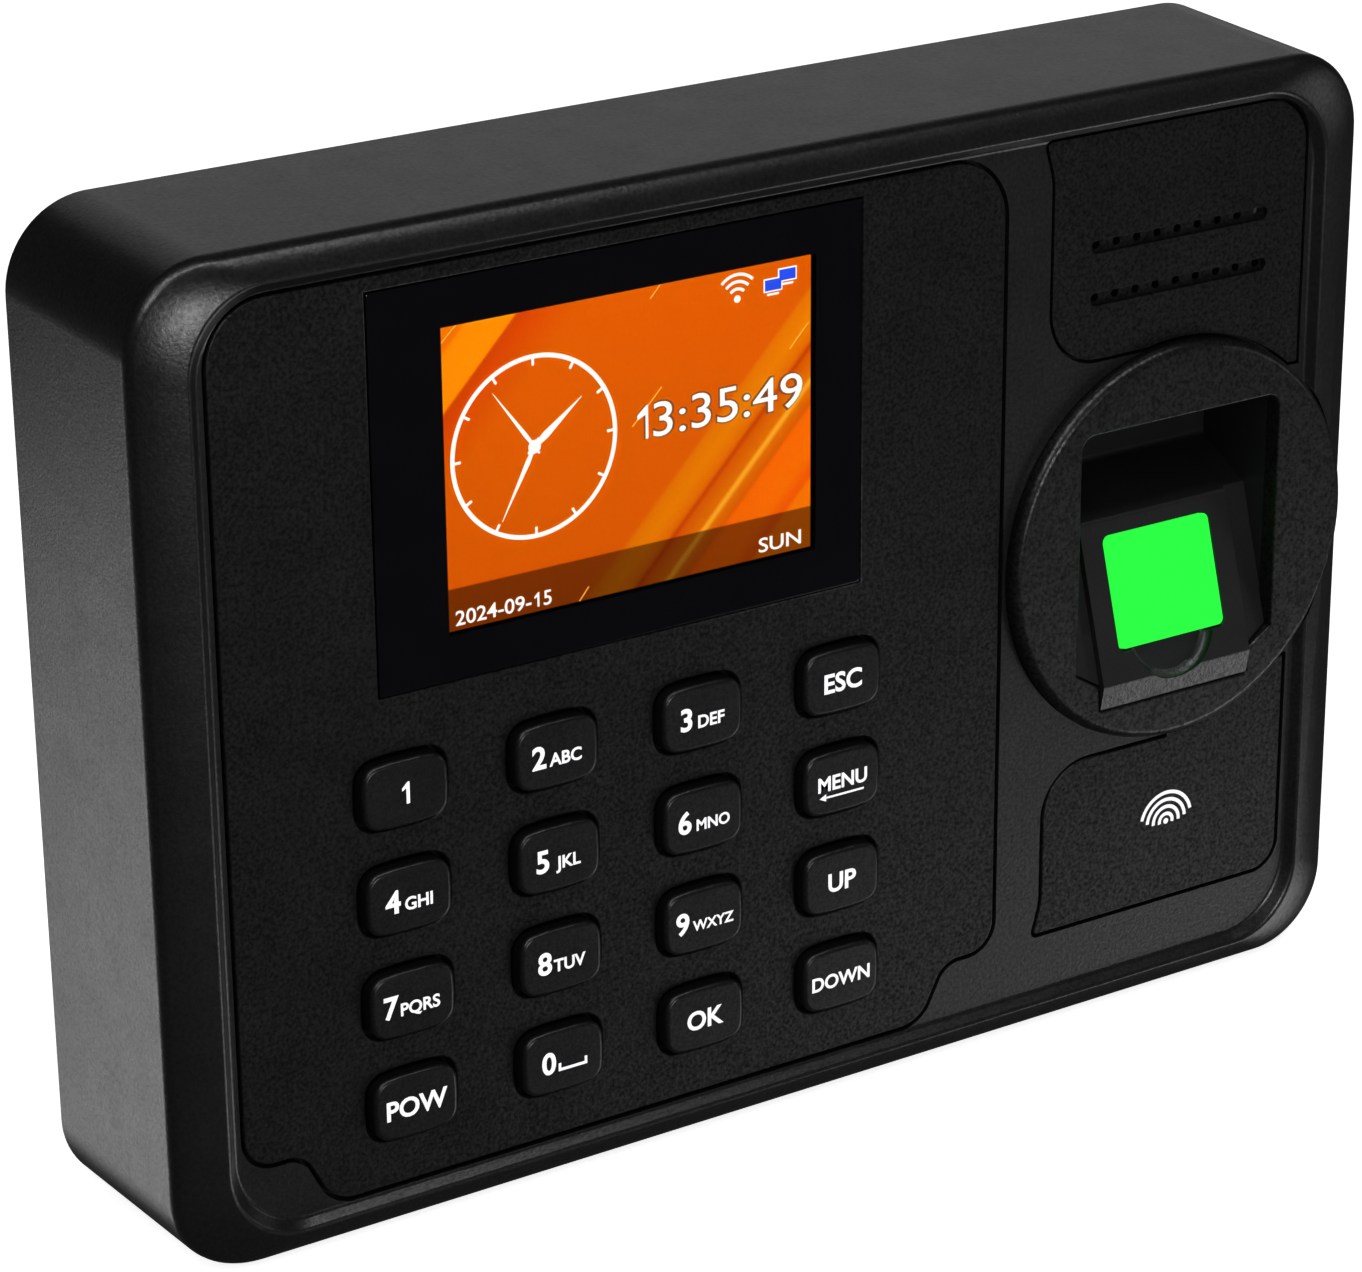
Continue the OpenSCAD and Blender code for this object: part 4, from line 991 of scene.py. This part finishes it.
def model_screen_marks(out):
    """Wireless mark, wired-network marks, stripes of light, time, date and weekday."""
    white, light, blue, shade = [], [], [], []
    x, up = on_picture(46, 4.7)
    white.append(disc("dot", x, up, 0.52 * MM, out, 24))
    for radius in (1.5, 2.5, 3.5):
        white.append(band("wave", x, up - 0.1 * MM, radius * MM, 0.42 * MM,
                          -math.pi / 4, math.pi / 4, out, 10))
    front = (out[0], out[1] + 0.02 * MM)
    for u, v in ((54.0, 2.6), (51.7, 3.7)):
        x, up = on_picture(u, v)
        white.append(block("bezel", (x - 1.5 * MM, x + 1.5 * MM), (up - 0.95 * MM, up + 0.95 * MM), out))
        white.append(block("foot", (x - 0.95 * MM, x + 0.95 * MM), (up - 1.45 * MM, up - 1.15 * MM), out))
        blue.append(block("screen", (x - 1.3 * MM, x + 1.3 * MM),
                          (up - 0.75 * MM, up + 0.75 * MM), front))
        front = (out[0], front[1] + 0.02 * MM)
    rays = (((0.8, 2.5), (3.7, 0.1)), ((32.3, 2.2), (34.5, 0.1)), ((54.3, 13.1), (57.5, 10.0)),
            ((29.3, 19.3), (34.1, 14.7)), ((19.8, 43.1), (22.3, 40.4)))
    for (u0, v0), (u1, v1) in rays:
        a, b = on_picture(u0, v0), on_picture(u1, v1)
        light.append(draw("ray", [(*a, 0), (a[0] + 0.16 * MM, a[1] - 0.1 * MM, 0), (*b, 0),
                                  (b[0] - 0.16 * MM, b[1] + 0.1 * MM, 0)], out))
    level = out[1] + 0.04 * MM
    x, up = on_picture(30, 21.4)
    shade.append(figure_one("one_shade", 4.9 * MM, x, up - 0.1 * MM, level - 0.03 * MM, 0.13))
    shade.append(lettering("time_shade", "3:35:49", 4.7 * MM, x + 2.5 * MM, up,
                           level - 0.03 * MM, 0.045, 24 * MM))
    white.append(figure_one("one", 4.7 * MM, x + 0.1 * MM, up, level, 0.085))
    white.append(lettering("time", "3:35:49", 4.7 * MM, x + 2.6 * MM, up, level, 0.0, 23.8 * MM))
    foot_words = (("2024-09-", 1.8, 41.45, 11.5), ("5", 15.2, 41.45, 1.2), ("SUN", 49.3, 41.3, 6.9))
    for words, u, v, wide in foot_words:
        x, up = on_picture(u, v)
        white.append(lettering("words", words, 2.0 * MM, x, up, level, 0.01, wide * MM))
    white.append(figure_one("one", 2.0 * MM, *on_picture(13.8, 41.45), level, 0.14))
    return (together("screen_signs", white), together("screen_rays", light),
            together("screen_monitors", blue), together("screen_time_shade", shade))


# ---- Finger sensor ----


def model_bezel():
    """The round bezel with its window."""
    at, size = lay_out(), sizes()
    ring = disc("finger_bezel_ring", at.ring_x, at.ring_up, at.ring_r, (at.ring_seat, at.ring_face), 160)
    soften(ring, size.ring_edge, lambda e: lies_at(e, at.ring_face), 5)
    carve(ring, draw("window", window_corners(at), (at.ring_seat - 1 * MM, at.ring_face + 1 * MM)))
    near = at.ring_r - 2 * MM

    def window_edge(edge):
        point = edge.verts[0].co
        inside = math.hypot(point.x - at.ring_x, point.z - at.ring_up) < near
        return lies_at(edge, at.ring_face) and is_sharp(edge, SQUARE) and inside

    return soften(ring, 0.3 * MM, window_edge, 3)


def model_sensor_housing():
    """The sensor's housing: collar, flange, well, side ledges, sloping bed and chin."""
    at, size = lay_out(), sizes()
    low, high = span("sensor_housing")
    flange_w = (high.x - low.x) / 2
    back, flange = low.z, (24 * MM, 26 * MM)
    wall = 2 * MM
    half, bed = size.window_w / 2, size.bed_w / 2
    left, right = at.window_x - half, at.window_x + half
    body = disc("sensor_housing_body", at.ring_x, at.ring_up, at.collar_r,
                (flange[1], at.ring_seat - 0.1 * MM), 96)
    foot = block("flange", (at.ring_x - flange_w, at.ring_x + flange_w), (low.y, high.y), flange)
    carve(body, round_uprights(foot, 3 * MM, 6), "UNION")
    carve(body, block("box", (left - wall, right + wall), (at.lip - wall, at.window_t + wall),
                      (back, flange[0] + 0.05 * MM)), "UNION")
    chin = [(at.bed_top, flange[1], 0), (at.bed_top, bed_level(at, at.bed_top), 0),
            (at.lip, bed_level(at, at.lip), 0.5 * MM), (at.apron, at.ring_face, 0.4 * MM),
            (at.apron, flange[1], 0)]
    beds = (at.window_x - bed, at.window_x + bed)
    carve(body, draw("chin", chin, beds, sideways), "UNION")
    drop = size.bed_drop
    ledge = [(at.bed_top, flange[1], 0), (at.bed_top, bed_level(at, at.bed_top) - drop, 0),
             (at.lip - 1 * MM, bed_level(at, at.lip - 1 * MM) - drop, 0), (at.lip - 1 * MM, flange[1], 0)]
    ledges = draw("ledges", ledge, (left, right), sideways)
    deep = (flange[0] - 1 * MM, at.ring_face + 2 * MM)
    carve(ledges, swell(draw("inside", window_corners(at), deep), -0.12 * MM), "INTERSECT")
    soften(ledges, 0.25 * MM,
           lambda e: is_sharp(e) and min(-v.co.y for v in e.verts) > at.ring_seat, 2)
    carve(body, ledges, "UNION")

    def well(below, x):
        high, floor = at.ring_face + 4 * MM, at.face - size.well_d
        profile = [(at.window_t, high, 0), (at.window_t, floor, 1 * MM), (at.bed_top + 5 * MM, floor, 1 * MM),
                   (at.bed_top, bed_level(at, at.bed_top) - below, 1 * MM),
                   (at.lip, bed_level(at, at.lip) - below, 0), (at.lip, high, 0)]
        return draw("well", profile, x, sideways)

    carve(body, well(0, (beds[0] - 0.05 * MM, beds[1] + 0.05 * MM)))
    carve(body, well(drop, (left, beds[0] + 0.01 * MM)))
    carve(body, well(drop, (beds[1] - 0.01 * MM, right)))

    # The scan window's seat, a half-round hollow for the fingertip and the way to the prism
    low, high = span("scan_window")
    up = (low.y + high.y) / 2
    middle = place(at.window_x, up, bed_level(at, up))
    tilt = Matrix.Translation(middle) @ Matrix.Rotation(-size.bed_tilt, 4, "X")
    w, l = (high.x - low.x) / 2, 8.3 * MM
    seat = round_uprights(block("seat", (-w - 0.3 * MM, w + 0.3 * MM), (-l - 0.3 * MM, l + 0.3 * MM),
                                (-1.2 * MM, 3 * MM)), 1.2 * MM, 6)
    way = block("way", (-w + 1 * MM, w - 1 * MM), (-l + 1 * MM, l - 1 * MM), (-12 * MM, 0))
    scoop = disc("scoop", 0, -l + 1.6 * MM, 7.6 * MM, (-1.5 * MM, 3 * MM), 64)
    soften(scoop, 1.4 * MM, lambda e: lies_at(e, -1.5 * MM), 6)
    for tool in (seat, way, scoop):
        tool.data.transform(tilt)
        carve(body, tool)
    chamber = [(at.lip + 1 * MM, back - 1 * MM, 0), (at.lip + 1 * MM, bed_level(at, at.lip) - 6 * MM, 0),
               (at.bed_top - 3 * MM, bed_level(at, at.bed_top) - 6 * MM, 0),
               (at.bed_top - 3 * MM, back - 1 * MM, 0)]
    wide = (at.window_x - w - 2 * MM, at.window_x + w + 2 * MM)
    carve(body, draw("chamber", chamber, wide, sideways))
    return body


# ---- Operators ----


class TERMINAL_OT_front_cover(bpy.types.Operator):
    """Model the front cover"""

    bl_idname = "terminal.front_cover"
    bl_label = "Front cover"

    def execute(self, context):
        material = grained("housing_black", colours().housing, 0.31, 0.42 * MM, 0.025 * MM, 0.42, 0.1, 0.3)
        finish(model_cover(), TERMINAL, [material], ["front_cover"])
        start()
        return {"FINISHED"}


class TERMINAL_OT_panels(bpy.types.Operator):
    """Model the key panel, the speaker grille, the badge plate and its emblem"""

    bl_idname = "terminal.panels"
    bl_label = "Panels"

    def execute(self, context):
        material = grained("panel_black", colours().panel, 0.35, 0.40 * MM, 0.03 * MM, 0.21, 0.2, 0.7)
        finish(model_key_panel(), TERMINAL, [material], ["key_panel"])
        finish(model_speaker_grille(), TERMINAL, [material], ["speaker_grille"])
        finish(model_badge_plate(), TERMINAL, [material], ["badge_plate"])
        finish(model_emblem(), TERMINAL, [ink()])
        start()
        return {"FINISHED"}


def ink():
    """The white ink of the legends and the emblem, made once."""
    return bpy.data.materials.get("legend_ink") or grained(
        "legend_ink", colours().ink, 0.5, 0.12 * MM, 0.004 * MM, 0.3, 0.05)


class TERMINAL_OT_display(bpy.types.Operator):
    """Model the display's lens and the lit picture behind it"""

    bl_idname = "terminal.display"
    bl_label = "Display"

    def execute(self, context):
        black = grained("lens_black", (0.0012, 0.0012, 0.0016), 0.12, 4 * MM, 0.002 * MM, 0.35, 0.1)
        window = clear("lens_clear", (1, 1, 1), 1.06)
        finish(model_lens(), TERMINAL, [black, window], ["display_lens"])
        low, high = span("display_glass")
        top = span("display_lens")[0].z - 0.25 * MM
        glass = block("display_picture", (low.x, high.x), (low.y, high.y), (low.z, top))
        soften(glass, 0.1 * MM, lambda e: is_sharp(e), 2)
        finish(glass, TERMINAL, [picture_material()], ["display_glass"])
        out = (top - 0.01 * MM, top + 0.03 * MM)
        white = glowing("screen_white", (0.95, 0.93, 0.88), 1.0)
        finish(model_clock(out), TERMINAL, [white])
        signs, rays, monitors, shade = model_screen_marks(out)
        finish(signs, TERMINAL, [white])
        finish(rays, TERMINAL, [glowing("screen_ray", (1.0, 0.40, 0.04), 0.9)])
        finish(monitors, TERMINAL, [glowing("screen_blue", (0.008, 0.06, 0.80), 1.0)])
        finish(shade, TERMINAL, [glowing("screen_shade", (0.17, 0.045, 0.008), 1.0)])
        start()
        return {"FINISHED"}


class TERMINAL_OT_keys(bpy.types.Operator):
    """Model one key, copy it to all sixteen places and print the legends"""

    bl_idname = "terminal.keys"
    bl_label = "Keys"

    def execute(self, context):
        material = grained("key_black", colours().keys, 0.31, 0.30 * MM, 0.01 * MM, 0.30, 0.1, 0.3)
        cap = model_key_cap()
        for name in sum(KEYS, []):
            key = copied(cap, "cap_" + name[4:], (*key_middle(name), 0))
            finish(key, name, [material], [name])
            finish(model_legend(name), name, [ink()])
        bpy.data.objects.remove(cap)
        start()
        return {"FINISHED"}


class TERMINAL_OT_finger_sensor(bpy.types.Operator):
    """Model the round bezel and the sensor housing, and light the scan window"""

    bl_idname = "terminal.finger_sensor"
    bl_label = "Finger sensor"

    def execute(self, context):
        at = lay_out()
        darker = [0.6 * c for c in colours().housing]
        shell = grained("bezel_black", darker, 0.34, 0.40 * MM, 0.03 * MM, 0.32, 0.2, 0.6)
        finish(model_bezel(), TERMINAL, [shell], ["finger_bezel"])
        smooth = grained("sensor_black", colours().sensor, 0.36, 0.25 * MM, 0.006 * MM, 0.4)
        paler = [3 * c for c in colours().sensor]
        coarse = grained("apron_grain", paler, 0.42, 0.6 * MM, 0.16 * MM, 0.6, 0.2, 0.3)
        body = model_sensor_housing()
        for face in body.data.polygons:
            below_lip = face.center.z < at.lip + 0.2 * MM
            on_apron = below_lip and -face.center.y > at.face and face.normal.y < -0.3
            face.material_index = 1 if on_apron else 0
        finish(body, TERMINAL, [smooth, coarse], ["sensor_housing"])
        carry("scan_window", glowing("scan_green", colours().scan, 1.0, 0.02))
        start()
        return {"FINISHED"}


class TERMINAL_OT_carried_parts(bpy.types.Operator):
    """Give the back, the sockets and everything inside their materials"""

    bl_idname = "terminal.carried_parts"
    bl_label = "Carried parts"

    def execute(self, context):
        black = grained("moulded_parts", (0.012, 0.012, 0.013), 0.45, 0.2 * MM, 0.01 * MM)
        steel = metal("tinned_steel", (0.56, 0.57, 0.58), 0.3, (1, 1, 6))
        screws = metal("zinc_screws", (0.50, 0.50, 0.50), 0.32)
        board = grained("solder_mask", (0.012, 0.085, 0.035), 0.3, 1.2 * MM, 0.02 * MM, 0.5, 0.25)
        white = grained("white_moulding", (0.80, 0.80, 0.78), 0.45, 0.2 * MM, 0.006 * MM)
        finishes = {
            "rear_cover": grained("back_black", (0.013, 0.0135, 0.015), 0.5, 0.4 * MM, 0.03 * MM),
            "wall_plate": metal("zinc_sheet", (0.48, 0.50, 0.52), 0.36, (1, 1, 8), 1.2),
            "display_frame": steel, "network_socket": steel, "usb_socket": steel, "speaker_magnet": steel,
            "power_jack": black, "board_chips": black, "sensor_camera": black, "speaker": black,
            "tamper_switch": black, "case_screws": screws, "security_screw": screws,
            "board_screws": screws, "keypad_screws": screws, "sensor_screws": screws,
            "speaker_screws": screws,
            "main_board": board, "keypad_board": board, "sensor_board": board,
            "tamper_plunger": white, "display_backlight": white,
            "lens_tape": grained("foam_tape", (0.68, 0.66, 0.58), 0.8, 0.3 * MM, 0.03 * MM),
            "display_flex": grained("amber_flex", (0.42, 0.17, 0.02), 0.25, 1.5 * MM, 0.01 * MM),
            "key_mat": grained("silicone_mat", (0.05, 0.05, 0.055), 0.6, 0.5 * MM, 0.01 * MM),
            "sensor_prism": clear("prism_glass", (0.85, 0.95, 0.87)),
            "sensor_leds": grained("led_lens", (0.75, 0.85, 0.75), 0.2, 0.5 * MM, 0.005 * MM),
            "backup_battery": grained("blue_wrap", (0.05, 0.13, 0.30), 0.28, 3 * MM, 0.05 * MM),
            "wifi_antenna": metal("copper_film", (0.60, 0.33, 0.15), 0.3),
            "speaker_gasket": grained("black_foam", (0.02, 0.02, 0.022), 0.9, 0.5 * MM, 0.1 * MM),
        }
        for node, material in finishes.items():
            carry(node, material)
        start()
        return {"FINISHED"}


class TERMINAL_OT_stage(bpy.types.Operator):
    """Set the floor, the pale surroundings, the soft lights and the camera"""

    bl_idname = "terminal.stage"
    bl_label = "Stage"

    def execute(self, context):
        scene = bpy.context.scene
        scene.view_settings.view_transform = "Standard"
        scene.world = bpy.data.worlds.new("dim_room")
        scene.world.use_nodes = True
        scene.world.node_tree.nodes["Background"].inputs["Color"].default_value = (0.032, 0.032, 0.034, 1)
        floor_level = CAD_BOX[0][2]

        pale, shader = blank("pale_surroundings")
        mottled(pale, shader, (0.8, 0.8, 0.8), 0.01, 0.2)
        shader.inputs["Roughness"].default_value = 0.9
        shader.inputs["Specular IOR Level"].default_value = 0
        shader.inputs["Emission Color"].default_value = (1, 1, 1, 1)
        shader.inputs["Emission Strength"].default_value = 0.85
        floor = disc("floor", 0, 0, 3, (-0.01, 0), 64)
        lying = Matrix.Rotation(-math.pi / 2, 4, "X")
        floor.data.transform(Matrix.Translation((0, 0, floor_level)) @ lying)
        start()
        bpy.ops.mesh.primitive_uv_sphere_add(segments=48, ring_count=24, radius=3.2)
        dome = settled("dome")
        for obj in (floor, dome):
            obj.data.materials.append(pale)
        floor.visible_glossy = False
        for kind in ("visible_glossy", "visible_diffuse", "visible_shadow"):
            setattr(dome, kind, False)

        floor.visible_shadow = False
        lamps = {
            # name: (place, aims at, width, height, power)
            "behind": ((0.6, 1.2, 0.55), (0, 0, 0.05), 1.4, 1.0, 1.65),
            "below_front": ((0.89, -0.59, -0.76), (0, 0, 0), 0.6, 0.4, 2.4),
            "right_front": ((1.5, -0.9, 0.1), (0.03, 0, 0), 0.5, 0.6, 1.2),
            "corner_spot": ((0.0, -1.4, 0.10), (-0.08, 0, 0.06), 0.28, 0.22, 5.6),
            "top_strip": ((-0.1, -0.55, 1.2), (-0.05, 0, 0), 1.4, 0.25, 9),
            "camera_side": ((-0.9, -1.0, 1.0), (0, 0, 0), 0.5, 0.5, 7),
            "left_low": ((-0.78, 0.81, -0.65), (0, 0, 0), 0.6, 0.6, 2.8),
        }
        for name, (where, aim, wide, high, power) in lamps.items():
            light = bpy.data.lights.new(name, "AREA")
            light.shape = "RECTANGLE"
            light.size, light.size_y, light.energy = wide, high, power
            lamp = bpy.data.objects.new(name, light)
            lamp.location = where
            lamp.rotation_euler = (Vector(aim) - Vector(where)).to_track_quat("-Z", "Y").to_euler()
            scene.collection.objects.link(lamp)

        # The view from the left and above: turn round the wall's normal, height, roll and distance
        turn, rise, roll = math.radians(-32.59), math.radians(21.79), math.radians(-0.53)
        back = Vector((math.sin(turn) * math.cos(rise), -math.cos(turn) * math.cos(rise), math.sin(rise)))
        right = (-back).cross(Vector((0, 0, 1))).normalized()
        up = right.cross(-back)
        tilted_right = math.cos(roll) * right + math.sin(roll) * up
        tilted_up = math.cos(roll) * up - math.sin(roll) * right
        camera = bpy.data.objects.new("camera", bpy.data.cameras.new("camera"))
        camera.data.sensor_width = 36
        camera.data.lens = 117.24
        camera.data.clip_start = 0.01
        turned = Matrix((tilted_right, tilted_up, back)).transposed().to_4x4()
        camera.matrix_world = Matrix.Translation((-0.31761, -0.50107, 0.22727)) @ turned
        scene.collection.objects.link(camera)
        scene.camera = camera
        start()
        return {"FINISHED"}


class TERMINAL_PT_steps(bpy.types.Panel):
    """The steps that build the terminal"""

    bl_idname = "TERMINAL_PT_steps"
    bl_label = "Fingerprint scanner terminal"
    bl_space_type = "VIEW_3D"
    bl_region_type = "UI"
    bl_category = "Terminal"

    def draw(self, context):
        column = self.layout.column()
        for step in STEPS:
            column.operator(step.bl_idname)
        for group in (context.scene.terminal_sizes, context.scene.terminal_colours):
            for name in group.__annotations__:
                column.prop(group, name)


STEPS = [
    TERMINAL_OT_front_cover,
    TERMINAL_OT_panels,
    TERMINAL_OT_display,
    TERMINAL_OT_keys,
    TERMINAL_OT_finger_sensor,
    TERMINAL_OT_carried_parts,
    TERMINAL_OT_stage,
]
CLASSES = [TerminalSizes, TerminalColours, *STEPS, TERMINAL_PT_steps]


def register():
    """Register the classes and the two groups of settings."""
    for item in CLASSES:
        bpy.utils.register_class(item)
    bpy.types.Scene.terminal_sizes = PointerProperty(type=TerminalSizes)
    bpy.types.Scene.terminal_colours = PointerProperty(type=TerminalColours)


def unregister():
    """Take the settings and the classes away again."""
    del bpy.types.Scene.terminal_colours
    del bpy.types.Scene.terminal_sizes
    for item in reversed(CLASSES):
        bpy.utils.unregister_class(item)


def main():
    register()
    for step in STEPS:
        group, name = step.bl_idname.split(".")
        getattr(getattr(bpy.ops, group), name)()
    bpy.context.view_layer.update()


if __name__ == "__main__":
    main()
